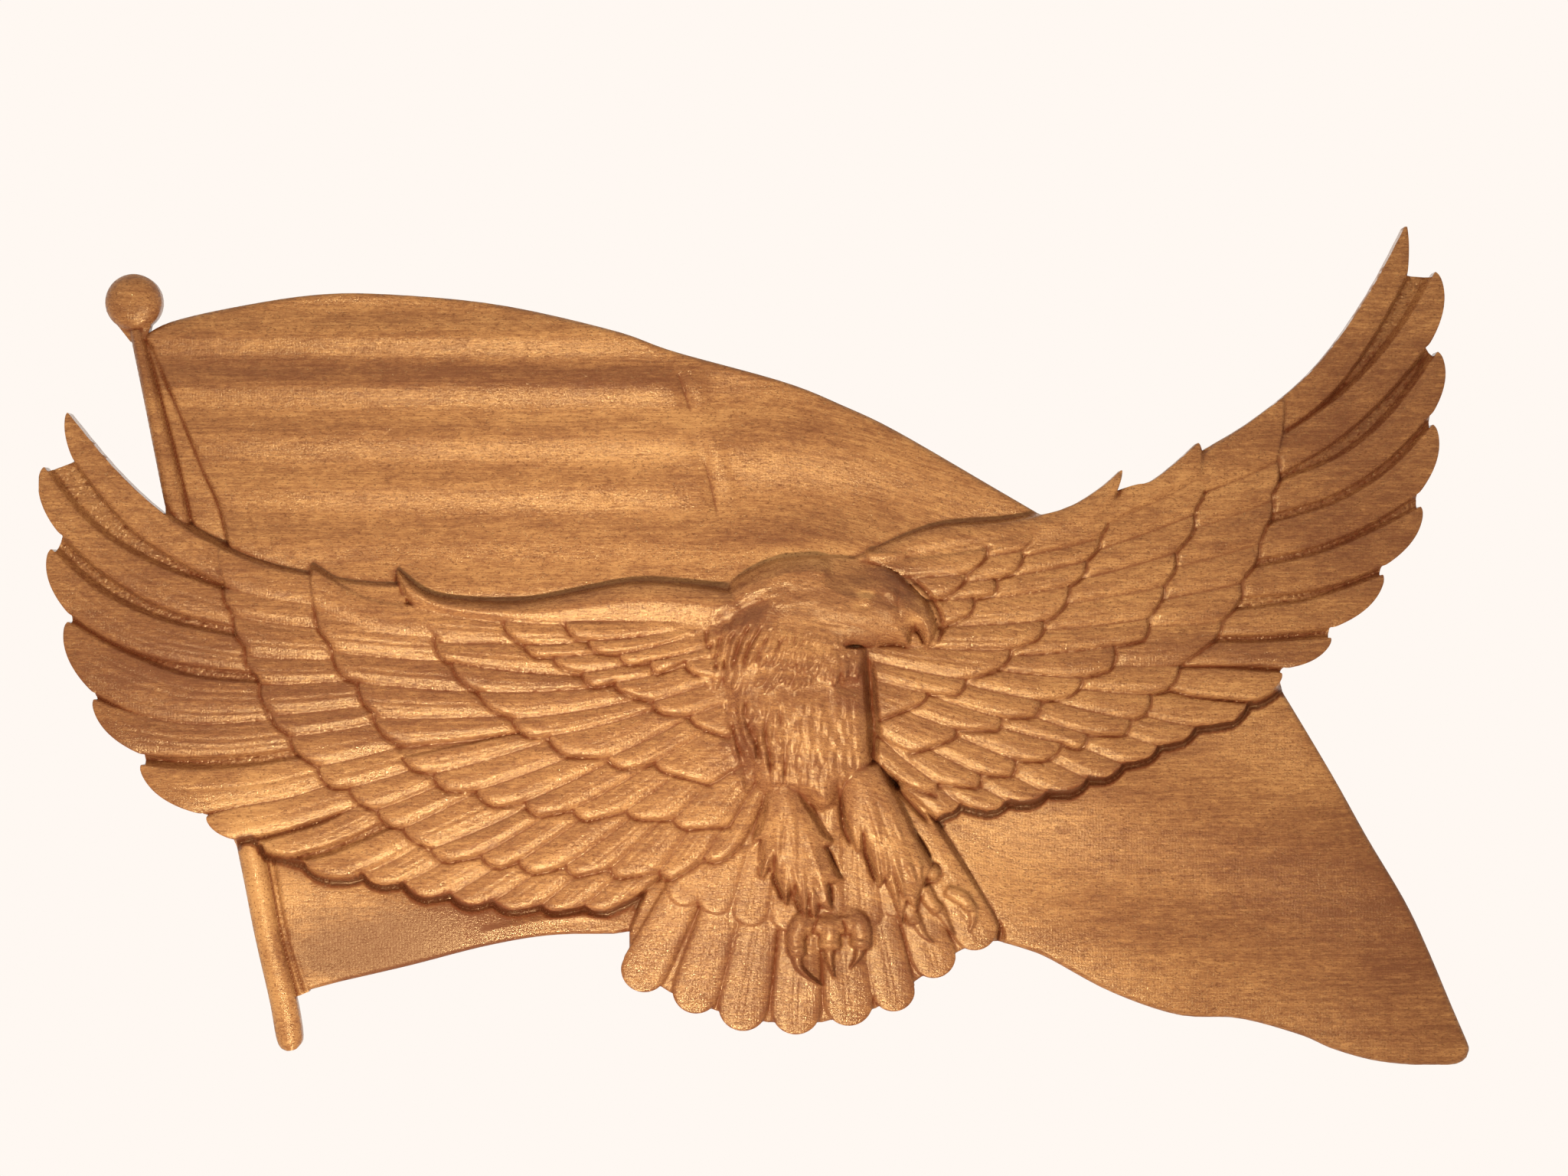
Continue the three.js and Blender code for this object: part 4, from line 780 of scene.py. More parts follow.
def flag_height(x, z):
    """The flag's ripples, which change past the fold in its middle, and its rise towards the eagle."""
    past = smooth(x, -45, -5)
    level = z + 14 * smooth(x, 0, 110)
    left = wave(z - 111.5, LEFT_RIPPLE) * mix(0.5, 0.85, smooth(z, 84, 118))
    right = wave(level - 86, RIGHT_RIPPLE)
    upper = smooth(z, 0, 40)
    low = RIPPLE_HEIGHT * wave(z + 0.25 * x + 92, LOW_WAVE) + CROSS_HEIGHT * wave(x - 150, CROSS_WAVE)
    away, _ = line_distance(EAGLE_TOP, x, z)
    raised = EAGLE_RISE * np.exp(-(away / RISE_REACH) ** 2)
    raised += SWELL_RISE * np.exp(-oval(x, z, SWELL_MIDDLE, SWELL_REACH))
    return FLAG_FACE + raised + RIPPLE_HEIGHT * mix(left, right, past) * upper + low * (1 - upper)


def carve_flag():
    outline = np.concatenate([
        curve(FLAG_TOP, 60), FLAG_UNDER_WING, curve(FLAG_RIGHT, 30), curve(FLAG_BOTTOM_RIGHT, 60),
        FLAG_UNDER_TAIL, curve(FLAG_BOTTOM_LEFT, 24), curve(HEM_LINE, 24)])
    window, x, z, edge = field(outline, 4)
    lay(window, flag_height(x, z), edge, wall=3, bevel=2.2)
    strokes(FLAG_MARKS)


def carve_pole():
    hem = np.concatenate([curve(POLE_AXIS, 30)[:-7], curve(HEM_LINE + [2.5, 0], 24)])
    plate(hem, HEM_FLOOR, 4, wall=3, bevel=0.3)
    stroke(HEM_LINE, 1.1, -1.3, taper=(0, 0))
    edge = [[x + half + 0.6, z] for (x, z), half in zip(POLE_AXIS[:7], POLE_HALF_WIDTHS)]
    stroke(edge, 1.6, -1.6, taper=(0, 0))
    bar(POLE_AXIS, POLE_HALF_WIDTHS, POLE_EDGE, POLE_CREST, count=50)
    plate(BALL_NECK, HEM_FLOOR, 3, bevel=1.0)
    window, away = around(BALL_MIDDLE, BALL_RADIUS + 4)
    face = mix(BALL_EDGE, BALL_CREST, np.sqrt(np.clip(1 - (away / BALL_RADIUS) ** 2.8, 0, 1)))
    lay(window, face, BALL_RADIUS - away, bevel=0.5)


def carve_fan(ends, order, first_root, overlap, tip, rim):
    """Round-ended feathers of the tail, each with a double line along its middle."""
    for k in order:
        x, z, half = ends[k]
        half = half + overlap
        start = np.array([first_root[0] + ROOT_SPACING * k, first_root[1]], float)
        end = np.array([x, z], float)
        run = (end - start) / np.hypot(*(end - start))
        side = np.array([-run[1], run[0]])
        part = np.linspace(0, 1, 10)[:, None]
        lead = mix(start - FAN_ROOT_HALF * side, end - half * side, part)
        trail = mix(start + FAN_ROOT_HALF * side, end + half * side, part)
        strip = Strip(lead, trail, round_end=True)
        face = tip + FAN_RISE * (1 - np.clip(strip.u, 0, 1)) + FAN_RISE * (crown(strip.v, 0.5, 3, 3) - 1)
        face = face - rim * smooth(2.5 - strip.edge, 0, 2.5)
        for shift, sway, depth, reach, share, fade in FAN_LINES:
            away = np.abs(strip.v - 0.5 - shift - sway * np.sin(6 * strip.u)) * strip.wide
            fading = smooth(half * share - strip.past, 0, fade)
            face = face - depth * np.clip(1 - away / reach, 0, 1) * fading
        lay(strip.window, face, strip.edge, wall=2.0, bevel=0.7)


def carve_tail():
    plate(TAIL_BASE, TAIL_FLOOR, 4, bevel=1.0)
    stroke(TAIL_SIDE, 2.6, -2.6, taper=(0.1, 0))
    carve_fan(TAIL_ENDS, TAIL_ORDER, TAIL_ROOT, FAN_OVERLAP, TAIL_TIP, 0)
    carve_fan(COVERT_ENDS, COVERT_ORDER, COVERT_ROOT, COVERT_OVERLAP, COVERT_TIP, COVERT_RIM)


def body_height(x, z):
    round_part = np.maximum(0, 1 - oval(x, z, BODY_MIDDLE, BODY_REACH))
    return mix(BODY_EDGE, BODY_CREST, np.sqrt(round_part))


def plumage(sizes, first, last, run, base):
    """A field of overlapping locks, laid in rows between two lines, with seeded differences."""
    (rows, count), (half, lift) = sizes
    for row in range(int(rows)):
        starts = mix(first, last, row / (rows - 1))
        for k, start in enumerate(rail(starts, (np.arange(count) + 0.5 * (row % 2)) / count)):
            ahead = mix(run[0], run[1], (k + 0.5) / count)
            ahead = ahead * chance.uniform(0.75, 1.2)
            begin = start + chance.uniform(-0.8, 0.8, 2)
            side = np.array([-ahead[1], ahead[0]]) * chance.uniform(-0.09, 0.09)
            places = [begin, begin + ahead * 0.35 + side, begin + ahead * 0.7 + side, begin + ahead]
            plume(places, half * chance.uniform(0.8, 1.15), lift * chance.uniform(0.7, 1.2), base)


def carve_body():
    window, x, z, edge = field(BODY_OUTLINE, 6)
    rim = 3.4 * (1 - smooth(edge, 0, 7))
    lay(window, body_height(x, z) - rim, edge, wall=5, bevel=1.0)
    window, _, _, edge = field(np.concatenate([CAPE_FRINGE, CAPE_NAPE]), 6)
    height[window] += 1.5 * smooth(edge, -1, 9) * (inside[window] > 0)
    strokes(BODY_SHAPING, taper=(0.3, 0.3))
    base = height.copy()
    for locks in PLUMAGE:
        plumage(*locks, base)
    plumes(BODY_LOCKS, base)
    strokes(BODY_MARKS)


def carve_head():
    window, x, z, edge = field(HEAD_OUTLINE, 5)
    behind = height[window].copy()
    gentle = smooth(z, 15, 27) * (1 - smooth(x, 46, 58))
    face = mix(HEAD_RIM, HEAD_CREST, mix(swell(edge / 17), np.clip(edge / 21, 0, 1), gentle))
    lay(window, face, edge, bevel=0.8, wall=5)
    blended = np.where(behind > HEAD_RIM + 2, -soft_least(-behind, -face, 5), height[window])
    free = smooth(x + 8 * smooth(z, 9, 17), 36, 42)
    height[window] = np.where(edge > 0, mix(blended, face, free), height[window])
    strokes(HEAD_SHAPING, taper=(0.3, 0.3))
    carve_eye()
    strokes(HEAD_MARKS)


def carve_eye():
    """A ball in a socket, both turned a little, with the ball's front tilted."""
    window, x, z = patch([EYE], 8)
    turned = (x - EYE[0]) * EYE_TURN[0] + (z - EYE[1]) * EYE_TURN[1]
    across = (z - EYE[1]) * EYE_TURN[0] - (x - EYE[0]) * EYE_TURN[1]
    socket = np.hypot(turned / SOCKET[0], across / SOCKET[1])
    height[window] -= SOCKET_DEPTH * (1 - smooth(socket, 0.2, 1.0))
    away = np.hypot(turned, across * EYE_FLATNESS)
    height[window] += EYE_RISE * (1 - smooth(away, 1.2, EYE_RADIUS))
    height[window] += (EYE_TILT[0] * turned + EYE_TILT[1] * across) * (1 - smooth(away, *TILT_RIM))


def carve_leg(outline, locks, marks):
    swollen(outline, 12, LEG_EDGE, LEG_CREST, bevel=1.2)
    plumes(locks, height.copy())
    strokes(marks, taper=(0.3, 0.2))


def carve_foot(toes, low, crest, start):
    """Toes and claws. start is the part of a toe's run at which it begins to rise out of the palm."""
    for ((outer, inner),), toe, claw in toes:
        bar(claw, CLAW_HALF_WIDTHS, low - 0.3, crest - 1.4)
        strip = Strip(*bar_sides(toe, [outer * 0.8, outer, outer * 0.9, inner], 12), bulge=0.8)
        across = np.clip(1 - np.abs(2 * strip.v - 1) ** 2.4, 0, 1)
        cuff = 0.9 * np.exp(-((strip.u - 0.9) / 0.09) ** 2)
        level = mix(low + 0.5, crest, smooth(strip.u, start, start + 0.38))
        face = mix(low, level, np.sqrt(across)) + cuff * across
        lay(strip.window, face, strip.edge, wall=4, bevel=0.5)


def widened(mask, steps):
    """A mask spread upward by some steps of the grid, or downward where steps is negative."""
    wide = mask.copy()
    for k in range(1, abs(steps) + 1):
        if steps > 0:
            wide[k:] |= mask[:-k]
        else:
            wide[:-k] |= mask[k:]
    return wide


def cut_foot(below):
    """Cuts a groove into the flag and the pole along the eagle's foot, deepest under its lower edges, and
    paints shade into it and up the eagle's low walls.
    """
    eagle = gaps | (height > below + 0.15)
    near = eagle
    away = np.full(height.shape, FOOT_REACH)
    for step in range(int(FOOT_REACH / STEP)):
        away = np.where(near, np.minimum(away, step * STEP), away)
        near = widened(near, 1) | widened(near, -1) | widened(near.T, 1).T | widened(near.T, -1).T
    heavier = mix(0.9, 1.0, smooth(COLUMNS, 0, 90))
    under = widened(eagle, -UNDER_STEPS)
    close = np.clip(1 - away / FOOT_REACH, 0, 1)
    flat = ~eagle & (inside > 0)
    height[flat] -= (FOOT_CUT * np.where(under, heavier, SIDE_CUT) * close ** 1.5)[flat]
    # Painted shade on the flag beside the eagle, darkest under its lower edges
    under_shade = UNDER_SHADE * heavier * np.clip(2.2 * close, 0, 1)
    foot_shade[flat] = np.where(under, under_shade, SIDE_SHADE * close ** 0.7)[flat]
    # Painted shade climbing the eagle's low walls above the flag
    low = eagle & (height < below + CLIMB_HEIGHT) & widened(flat, CLIMB_STEPS)
    foot_shade[low] = np.broadcast_to(CLIMB_SHADE * heavier, height.shape)[low]


def soften():
    """Averages each height with its neighbours, which takes the grid's steps off slanting edges."""
    share = (inside > 0).astype(float)
    total = height * share
    for axis in (0, 1):
        total = total + 0.3 * (np.roll(total, 1, axis) + np.roll(total, -1, axis))
        share = share + 0.3 * (np.roll(share, 1, axis) + np.roll(share, -1, axis))
    height[:] = np.where(inside > 0, total / np.maximum(share, 0.1), height)


def carve():
    carve_flag()
    carve_pole()
    below = height.copy()
    carve_tail()
    wing(LEFT_PRIMARIES, LEFT_ROWS, 0.1, [0.04] * 6)
    wing(RIGHT_PRIMARIES, RIGHT_ROWS, 0.04, [-0.04] * 4 + [-0.03] * 2)
    for bed in SHOULDERS:
        plate(bed, SHOULDER_LEVEL, 1, bevel=0.1)
    for (lead, trail), tip in zip(WING_FRONTS, HAND_TIPS):
        feather(lead, trail, tip - 0.8, tip, 16, 1, bulge=1.5, corner=0.7)
    for (lead, trail), root, rise in zip(WING_FRONTS[-2:], (ARM_CREST, RIGHT_ARM_ROOT), (3.6, 2.4)):
        feather(lead, trail, root, ARM_TIP, 24, 0, rise, (5, 4), (0.42, 1.8, 1.7), bulge=1)
    cut_foot(below)
    wings = height.copy()
    strokes(WING_MARKS)
    carve_body()
    carve_head()
    carve_leg(LEFT_LEG_OUTLINE, LEFT_LEG_LOCKS, LEFT_LEG_MARKS)
    carve_leg(RIGHT_LEG_OUTLINE, RIGHT_LEG_LOCKS, RIGHT_LEG_MARKS)
    window, away = around(KNOB, 7)
    height[window] -= 1.0 * np.clip(1 - np.abs(away - KNOB_RADIUS - 0.8) / 1.2, 0, 1)
    face = KNOB_LEVEL + np.sqrt(np.clip(KNOB_RADIUS ** 2 - away ** 2, 0, None))
    lay(window, face, KNOB_RADIUS - away, bevel=0.3)
    carve_foot(RIGHT_TOES, 13.6, 16.6, -0.6)
    swollen(LEFT_PALM, 6, PALM_EDGE, PALM_CREST, wall=4)
    carve_foot(LEFT_TOES, 14.8, 19.2, 0.02)
    strokes(TOE_MARKS)
    # No painted shade on what stands above the wings
    foot_shade[height > wings + 0.8] = 0
    soften()


NEAREST_CUT = 0.04


def cut_places(land, step):
    """The points where the outline crosses the grid's lines in one direction, with their places."""
    rows, columns = land.shape
    here = (slice(0, rows - step[0]), slice(0, columns - step[1]))
    there = (slice(step[0], rows), slice(step[1], columns))
    crossed = land[here] != land[there]
    first, second = inside[here][crossed], inside[there][crossed]
    part = np.clip(first / (first - second), NEAREST_CUT, 1 - NEAREST_CUT)
    i, j = np.nonzero(crossed)
    x = COLUMNS[j] + part * step[1] * STEP
    z = LEVELS[i] + part * step[0] * STEP
    share = np.where(land[here][crossed], part * 0.3, 1 - 0.3 * (1 - part))
    lift = mix(height[here][crossed], height[there][crossed], share)
    return crossed, joined(x, z, lift)


def joined(*parts):
    return np.stack(parts, axis=1)


def board_faces():
    """The carved face as triangles cut off at the outline, and the outline's edges in order."""
    land = inside > 0
    number = np.full(land.shape, -1)
    i, j = np.nonzero(land)
    number[i, j] = np.arange(i.size)
    points = [joined(COLUMNS[j], LEVELS[i], height[i, j])]
    count = i.size
    cuts = []
    for step in ((0, 1), (1, 0), (1, 1)):
        crossed, places = cut_places(land, step)
        numbered = np.full(crossed.shape, -1)
        numbered[crossed] = np.arange(count, count + len(places))
        count += len(places)
        points.append(places)
        cuts.append(numbered)
    level, upright, slant = cuts
    near, right = number[:-1, :-1], number[:-1, 1:]
    above, far = number[1:, :-1], number[1:, 1:]
    faces, rim = [], []
    halves = (
        ((near, right, far), (level[:-1], upright[:, 1:], slant)),
        ((near, far, above), (slant, level[1:], upright[:, :-1])),
    )
    for corners, sides in halves:
        known = [corner >= 0 for corner in corners]
        total = known[0].astype(int) + known[1] + known[2]
        whole = total == 3
        faces.append(joined(*(corner[whole] for corner in corners)))
        for k in range(3):
            a, b, c = (corners[(k + turn) % 3] for turn in range(3))
            ab, ca = sides[k], sides[(k + 2) % 3]
            alone = (total == 1) & known[k]
            faces.append(joined(a[alone], ab[alone], ca[alone]))
            rim.append(joined(ab[alone], ca[alone]))
            missing = (total == 2) & ~known[k]
            faces.append(joined(ab[missing], b[missing], c[missing]))
            faces.append(joined(ab[missing], c[missing], ca[missing]))
            rim.append(joined(ca[missing], ab[missing]))
    return np.concatenate(points), np.concatenate(faces), np.concatenate(rim)


def closed_board():
    """The board as points and triangles: the carved face, the walls along its outline and the flat back."""
    points, faces, rim = board_faces()
    used = np.unique(rim)
    foot_of = np.full(len(points), -1)
    foot_of[used] = len(points) + np.arange(used.size)
    feet = points[used].copy()
    feet[:, 2] = 0
    start, end = rim[:, 0], rim[:, 1]
    walls = np.concatenate([joined(end, start, foot_of[start]), joined(end, foot_of[start], foot_of[end])])
    order = np.full(len(points), -1)
    order[used] = np.arange(used.size)
    flat = [Vector((float(x), float(z))) for x, z in feet[:, :2]]
    edges = [(int(order[a]), int(order[b])) for a, b in rim]
    _, _, triangles, sources, _, _ = delaunay_2d_cdt(flat, edges, [], 1, 1e-5)
    back = np.array([[sources[v][0] for v in triangle] for triangle in triangles])
    a, b, c = feet[back[:, 0]], feet[back[:, 1]], feet[back[:, 2]]
    turn = (b[:, 0] - a[:, 0]) * (c[:, 1] - a[:, 1]) - (b[:, 1] - a[:, 1]) * (c[:, 0] - a[:, 0])
    back[turn > 0] = back[turn > 0][:, ::-1]
    return np.concatenate([points, feet]), np.concatenate([faces, walls, back + len(points)])


def sampled(grid, x, z):
    """The values of a grid between its points."""
    across = np.clip((x - WEST) / STEP, 0, COLUMNS.size - 1.001)
    up = np.clip((z - SOUTH) / STEP, 0, LEVELS.size - 1.001)
    j, i = across.astype(int), up.astype(int)
    a, b = up - i, across - j
    low = mix(grid[i, j], grid[i, j + 1], b)
    high = mix(grid[i + 1, j], grid[i + 1, j + 1], b)
    return mix(low, high, a)


HOLLOW_REACHES = (0.8, 1.6, 2.8)


def hollows(x, z):
    """How far the carving stands above each place on both sides of it, where the wood is darkened: partly
    stain collected there, partly painted shade.
    """
    carved = np.where(inside > 0, height, 0)
    here = sampled(carved, x, z)
    deepest = np.zeros(x.shape)
    for turn in np.arange(0, math.pi, math.pi / 4):
        total = np.zeros(x.shape)
        for reach in HOLLOW_REACHES:
            across, up = reach * math.cos(turn), reach * math.sin(turn)
            near = np.minimum(sampled(carved, x + across, z + up), sampled(carved, x - across, z - up))
            total += np.clip(near - here, -1, 1) / 3
        deepest = np.maximum(deepest, total)
    return deepest


# Darker and lighter patches, partly the wood's own tone and partly painted light: painted shade where faces
# turn from the lamps and towards the board's edges, painted highlights at the eye, beak, head top and toes:
# middle, half sizes and how much darker
TONE_SHADE_AND_HIGHLIGHTS = np.array("""
-150 118 125 8 0.8   -150 95 95 4 0.3   -100 74 50 5 0.35   -140 52 85 4 0.3   12 90 26 6 0.5
8 48 24 6 0.45   -40 117 16 6 0.4   -29 69 9 9 0.45   -265 0 55 65 0.5   -180 -16 125 8 0.4
245 55 50 30 0.25   250 95 45 30 0.2   190 -3 62 8 0.35   280 -115 34 55 0.5   18 -14 36 52 0.28
40 20 40 24 0.15   10 -135 80 30 0.8   -146 -126 50 14 1.5   -262 135 40 40 0.15   215 -110 90 60 0.4
262 90 40 80 0.35   -2 13 14 6 0.7   -4 -38 8 15 0.6   44 -14 8 13 0.7   60 27 9 8 0.7
-70 84 70 26 -0.2   46.6 19.6 3 1.8 -1.6   42.5 14.5 3 1.6 -0.7   67 11 2.6 1.6 -1.2   18 4 12 7 -0.3
225 68 42 9 -0.2   218 -46 30 13 -0.35   105 -96 32 26 -0.3   178 -102 22 13 -0.25   175 -143 66 10 -0.3
-60 -40 75 55 -0.04   -140 -35 85 50 0.25   24 37 26 5 -0.7   30 -129 16 9 -0.6   -212 -120 11 60 -0.7
""".split(), float).reshape(-1, 5)


def tone_shade_and_highlights(x, z):
    """How much darker each place is made by the patches: the wood's own tone, painted shade and painted
    highlights.
    """
    total = np.zeros(x.shape)
    for middle_x, middle_z, half_x, half_z, darker in TONE_SHADE_AND_HIGHLIGHTS:
        away = ((x - middle_x) / half_x) ** 2 + ((z - middle_z - 3 * np.sin(x / 23)) / half_z) ** 2
        total += darker * np.exp(-away * 0.9)
    return total


# Where the wood is rubbed dull: middle and half sizes
WORN_FACE, WORN_CORNER, WORN_EYE = ((36, 17), (27, 19)), ((-170, -128), (40, 22)), 9


def worn(x, z):
    """Where the head's broad faces and the flag's lower corner are rubbed dull, apart from the eye."""
    face = oval(x, z, *WORN_FACE)
    eye = ((x - EYE[0]) ** 2 + (z - EYE[1]) ** 2) / WORN_EYE
    corner = oval(x, z, *WORN_CORNER)
    return np.exp(-face ** 2) * (1 - 1.3 * np.exp(-eye)) + np.exp(-corner ** 2)


def point_values(mesh, name, values):
    """Keeps a value for each point of a mesh, which the material reads by name."""
    layer = mesh.attributes.new(name, "FLOAT", "POINT")
    layer.data.foreach_set("value", values.astype(np.float32))


def added(name, data):
    """A new object in the scene."""
    thing = bpy.data.objects.new(name, data)
    bpy.context.collection.objects.link(thing)
    return thing


def mesh_from(points, faces, name):
    mesh = bpy.data.meshes.new(name)
    mesh.vertices.add(len(points))
    mesh.vertices.foreach_set("co", np.asarray(points, np.float32).ravel())
    mesh.loops.add(3 * len(faces))
    mesh.loops.foreach_set("vertex_index", np.asarray(faces, np.int32).ravel())
    mesh.polygons.add(len(faces))
    mesh.polygons.foreach_set("loop_start", np.arange(0, 3 * len(faces), 3, dtype=np.int32))
    mesh.update(calc_edges=True)
    mesh.validate()
    return mesh


FACE_BUDGET = 196000
SHARP = math.radians(52)
MILLIMETRES = 1000
BACK_DEPTH = 0.0005


def make_board(low, high):
    """The carved board as one closed mesh within the given corners, with its values for the material."""
    points, faces = closed_board()
    world = joined(points[:, 0], -points[:, 2], points[:, 1]) / MILLIMETRES
    dense = added("dense", mesh_from(np.clip(world, low, high), faces, "dense"))
    fewer = dense.modifiers.new("fewer", "DECIMATE")
    fewer.ratio = min(1, FACE_BUDGET / len(faces))
    fewer.use_collapse_triangulate = True
    graph = bpy.context.evaluated_depsgraph_get()
    mesh = bpy.data.meshes.new_from_object(dense.evaluated_get(graph))
    mesh.name = "eagle_relief"
    bpy.data.objects.remove(dense)
    board = added("eagle_relief", mesh)
    places = np.empty(3 * len(mesh.vertices), np.float32)
    mesh.vertices.foreach_get("co", places)
    places = np.clip(places.reshape(-1, 3), low, high)
    mesh.vertices.foreach_set("co", places.ravel())
    x, z = places[:, 0] * MILLIMETRES, places[:, 2] * MILLIMETRES
    # Stain with painted shade in the hollows, and the shade painted along the eagle's foot
    stain_and_painted_shade = np.maximum(hollows(x, z), sampled(foot_shade, x, z))
    point_values(mesh, "hollow_stain_and_shade", np.where(places[:, 1] > -BACK_DEPTH, 0, stain_and_painted_shade))
    # The wood's tone patches, with painted shade and painted highlights among them
    point_values(mesh, "tone_shade_highlights", tone_shade_and_highlights(x, z))
    point_values(mesh, "worn", worn(x, z))
    mesh.polygons.foreach_set("use_smooth", np.ones(len(mesh.polygons), bool))
    mesh.set_sharp_from_angle(angle=SHARP)
    mesh.update()
    return board


class Nodes:
    """A node tree that is written one node at a time."""

    def __init__(self, name):
        self.material = bpy.data.materials.new(name)
        self.material.use_nodes = True
        self.tree = self.material.node_tree
        self.tree.nodes.clear()

    def feed(self, socket, value):
        if isinstance(value, bpy.types.NodeSocket):
            self.tree.links.new(value, socket)
        else:
            socket.default_value = value

    def add(self, kind, inputs=None, **settings):
        node = self.tree.nodes.new(kind)
        for name, value in settings.items():
            setattr(node, name, value)
        for name, value in (inputs or {}).items():
            self.feed(node.inputs[name], value)
        return node

    def kept(self, name):
        """The values that the mesh keeps for its points under a name."""
        return self.add("ShaderNodeAttribute", attribute_name=name).outputs["Fac"]

    def math(self, operation, *values):
        return self.add("ShaderNodeMath", dict(enumerate(values)), operation=operation).outputs[0]

    def band(self, value, low, high, to_low=0.0, to_high=1.0):
        inputs = {"Value": value, "From Min": low, "From Max": high, "To Min": to_low, "To Max": to_high}
        return self.add("ShaderNodeMapRange", inputs, interpolation_type="SMOOTHSTEP").outputs["Result"]

    def scaled(self, place, size):
        inputs = {0: place, 1: size}
        return self.add("ShaderNodeVectorMath", inputs, operation="MULTIPLY").outputs[0]

    def noise(self, place, size, detail=2.0, roughness=0.5, warp=0.0):
        inputs = {"Vector": self.scaled(place, size), "Scale": 1.0, "Detail": detail,
                  "Roughness": roughness, "Distortion": warp}
        return self.add("ShaderNodeTexNoise", inputs).outputs["Fac"]

    def blend(self, part, first, second):
        node = self.add("ShaderNodeMix", data_type="RGBA")
        for name, value in (("Factor_Float", part), ("A_Color", first), ("B_Color", second)):
            self.feed(next(s for s in node.inputs if s.identifier == name), value)
        return next(s for s in node.outputs if s.identifier == "Result_Color")

    def finish(self, **inputs):
        """Ends the tree in a plain surface, and gives its material."""
        inputs = {name.replace("_", " "): value for name, value in inputs.items()}
        shader = self.add("ShaderNodeBsdfPrincipled", inputs)
        self.add("ShaderNodeOutputMaterial", {"Surface": shader.outputs["BSDF"]})
        return self.material


def linear(red, green, blue):
    """A colour given as the eye reads it, from 0 to 255."""
    parts = [c / 255 for c in (red, green, blue)]
    return tuple(c / 12.92 if c <= 0.04045 else ((c + 0.055) / 1.055) ** 2.4 for c in parts) + (1.0,)


DARK_WOOD, MIDDLE_WOOD, PALE_WOOD = linear(92, 48, 28), linear(130, 84, 48), linear(164, 117, 69)
# Colours for the hollows: stain with painted shade, and the darker painted shade under the eagle's lower
# edges
PORE_BROWN, STAIN_AND_SHADE, DEEP_SHADE_AND_STAIN = linear(84, 42, 20), linear(96, 45, 22), linear(62, 27, 12)
GOLDEN = linear(255, 218, 155)


def wood():
    """Stained wood: bands, mottling and fibres for its tone, with painted shade and highlights among the
    bands, pores, stain and painted shade in the hollows, painted shade along the eagle's foot, and a satin
    coat.
    """
    n = Nodes("carved_wood")
    place = n.add("ShaderNodeTexCoord").outputs["Object"]
    mm = n.scaled(place, (1000, 1000, 1000))
    x, y, z = n.add("ShaderNodeSeparateXYZ", {0: mm}).outputs
    level = n.math("ADD", z, n.band(x, 0.0, 130.0, 0.0, 26.0))
    flow = n.add("ShaderNodeCombineXYZ", {0: x, 1: y, 2: level}).outputs[0]
    # Stain and painted shade in the hollows, and painted shade along the eagle's foot
    hollow_stain_and_shade = n.kept("hollow_stain_and_shade")

    figure = n.noise(flow, (0.006, 0.03, 0.06), detail=3, roughness=0.5, warp=0.4)
    cloud = n.noise(flow, (0.05, 0.09, 0.14), detail=6, roughness=0.68, warp=0.5)
    mottle = n.noise(flow, (0.18, 0.3, 0.34), detail=5, roughness=0.75, warp=0.6)
    streak = n.noise(flow, (0.05, 0.6, 1.1), detail=3, roughness=0.65)
    fibre = n.noise(flow, (0.35, 2.2, 3.0), detail=3, roughness=0.75)
    pore = n.band(n.noise(flow, (0.6, 2.0, 2.2), detail=1), 0.62, 0.71)
    fleck = n.band(n.noise(mm, (0.7, 1.2, 1.4), detail=1), 0.63, 0.71)

    tone = n.math("MULTIPLY", cloud, 0.5)
    # The patches hold the wood's own tone, painted shade and painted highlights
    shares = ((figure, 0.4), (mottle, 0.65), (streak, 0.65), (fibre, 0.85), (n.kept("tone_shade_highlights"), -0.42))
    for part, share in shares:
        tone = n.math("MULTIPLY_ADD", part, share, tone)
    ramp = n.add("ShaderNodeValToRGB", {"Fac": n.band(tone, 1.07, 1.94)})
    stops = ramp.color_ramp.elements
    stops[0].color, stops[1].color = DARK_WOOD, PALE_WOOD
    stops.new(0.5).color = MIDDLE_WOOD
    marked = n.math("MAXIMUM", n.math("MULTIPLY", pore, 0.62), n.math("MULTIPLY", fleck, 0.72))
    body = n.blend(marked, ramp.outputs["Color"], PORE_BROWN)
    # Darkened by stain and painted shade; the deeper colour is mostly painted shade under the eagle's lower
    # edges
    body = n.blend(n.band(hollow_stain_and_shade, 0.06, 0.7, 0, 0.85), body, STAIN_AND_SHADE)
    body = n.blend(n.band(hollow_stain_and_shade, 0.8, 1.08, 0, 0.75), body, DEEP_SHADE_AND_STAIN)

    chatter = n.noise(mm, (0.9, 1.0, 1.2), detail=3, roughness=0.65)
    rough = n.math("MULTIPLY_ADD", n.kept("worn"), 0.25, n.band(chatter, 0.38, 0.6, 0.09, 0.21))
    grain = n.math("MULTIPLY_ADD", fibre, 0.5, n.math("MULTIPLY", pore, -0.4))
    scallop = n.math("SINE", n.math("MULTIPLY_ADD", x, 5.0, n.math("MULTIPLY", cloud, 14.0)))
    ridge = n.math("ADD", chatter, n.math("MULTIPLY_ADD", scallop, 0.05, grain))
    bump = n.add("ShaderNodeBump", {"Height": ridge, "Strength": 0.55, "Distance": 0.00035})
    normal = bump.outputs["Normal"]
    return n.finish(Base_Color=body, Roughness=rough, Normal=normal, IOR=1.5, Specular_IOR_Level=0.6,
                    Specular_Tint=GOLDEN)


FLOOR_LEFT, FLOOR_RIGHT, FLOOR_NEAR, FLOOR_FAR, FLOOR_LEVEL = -2.2, 2.2, -2.4, 0.4, -1.1


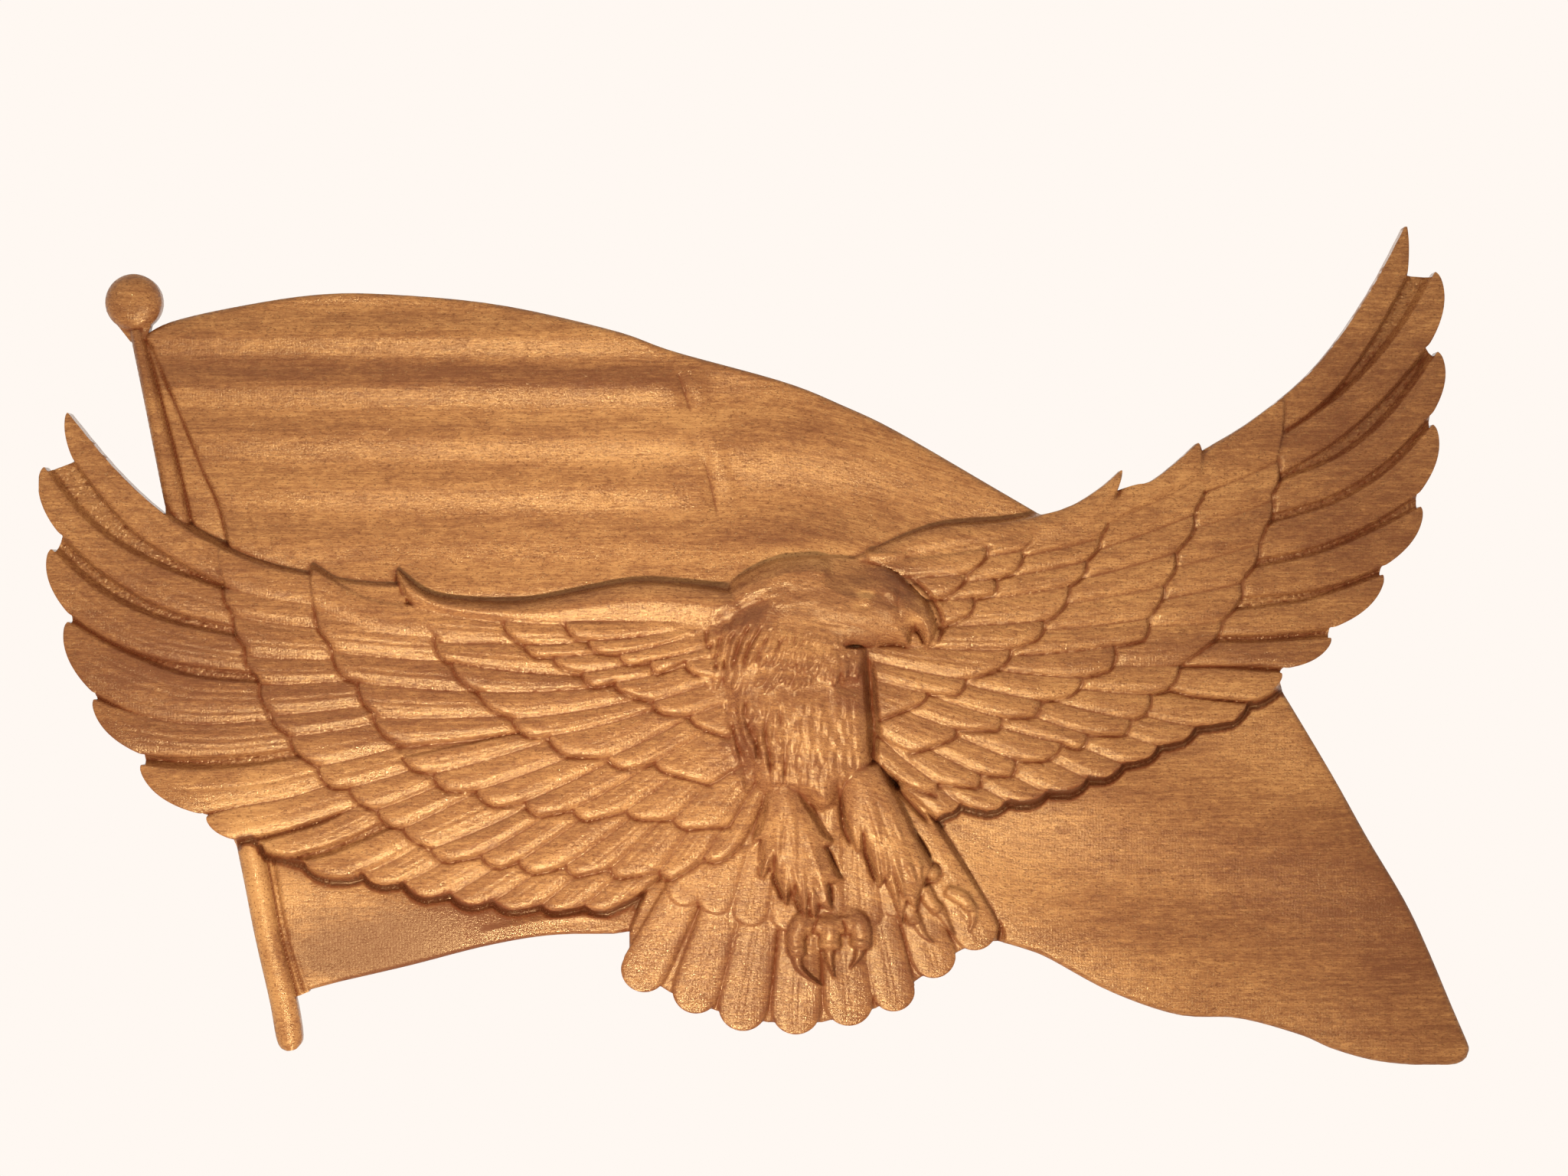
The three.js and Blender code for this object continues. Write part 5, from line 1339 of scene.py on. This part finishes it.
def pale_floor():
    n = Nodes("pale_floor")
    place = n.add("ShaderNodeTexCoord").outputs["Object"]
    speck = n.noise(place, (40, 40, 40), detail=4)
    tone = n.blend(n.band(speck, 0.3, 0.7), linear(236, 230, 222), linear(243, 238, 231))
    mesh = bpy.data.meshes.new("floor")
    near, far = (FLOOR_NEAR, FLOOR_LEVEL), (FLOOR_FAR, FLOOR_LEVEL)
    corners = [(FLOOR_LEFT, *near), (FLOOR_RIGHT, *near), (FLOOR_RIGHT, *far), (FLOOR_LEFT, *far)]
    mesh.from_pydata(corners, [], [(0, 1, 2, 3)])
    mesh.materials.append(n.finish(Base_Color=tone, Roughness=0.75))
    return added("floor", mesh)


def area_light(name, place, aim, size, power, colour=(1, 1, 1), spread=180):
    light = bpy.data.lights.new(name, "AREA")
    light.shape = "RECTANGLE"
    light.size, light.size_y = size
    light.energy = power
    light.color = colour
    light.spread = math.radians(spread)
    lamp = added(name, light)
    lamp.location = place
    lamp.rotation_euler = (Vector(aim) - Vector(place)).to_track_quat("-Z", "Y").to_euler()


# The photograph's frame: its width at the plaque, its middle, and how far off the camera stands
VIEW_WIDTH = 0.6676
VIEW_MIDDLE = (0.0119, 0.0251)
FACE_DEPTH = 0.014
CAMERA_DISTANCE = 2.6
SENSOR = 36.0


def look():
    """The camera, straight in front of the wall."""
    lens = bpy.data.cameras.new("camera")
    lens.sensor_width = SENSOR
    lens.lens = SENSOR * CAMERA_DISTANCE / VIEW_WIDTH
    camera = added("camera", lens)
    camera.location = (VIEW_MIDDLE[0], -FACE_DEPTH - CAMERA_DISTANCE, VIEW_MIDDLE[1])
    camera.rotation_euler = (math.pi / 2, 0, 0)
    bpy.context.scene.camera = camera


def light_up():
    """Even light all round, a small hard light from below the left wing, and a broad soft one above it."""
    world = bpy.data.worlds.new("studio")
    world.use_nodes = True
    shade = world.node_tree.nodes["Background"]
    shade.inputs["Color"].default_value = linear(255, 248, 242)
    shade.inputs["Strength"].default_value = 1.0
    bpy.context.scene.world = world
    area_light("key", (-0.1, -0.62, -0.35), (-0.05, 0, 0.01), (0.05, 0.05), 2.7, (1, 0.96, 0.9), 105)
    area_light("fill", (-0.7, -1.1, 0.8), (0, 0, 0), (1.3, 1.3), 3, (1, 0.9, 0.78))
    bpy.context.scene.view_settings.view_transform = "Standard"


carve()
low, high = (np.array(corner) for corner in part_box("eagle_plaque"))
board = make_board(low, high)
board.data.materials.append(wood())
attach(board, "root")
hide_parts("eagle_plaque")
floor = pale_floor()
light_up()
look()
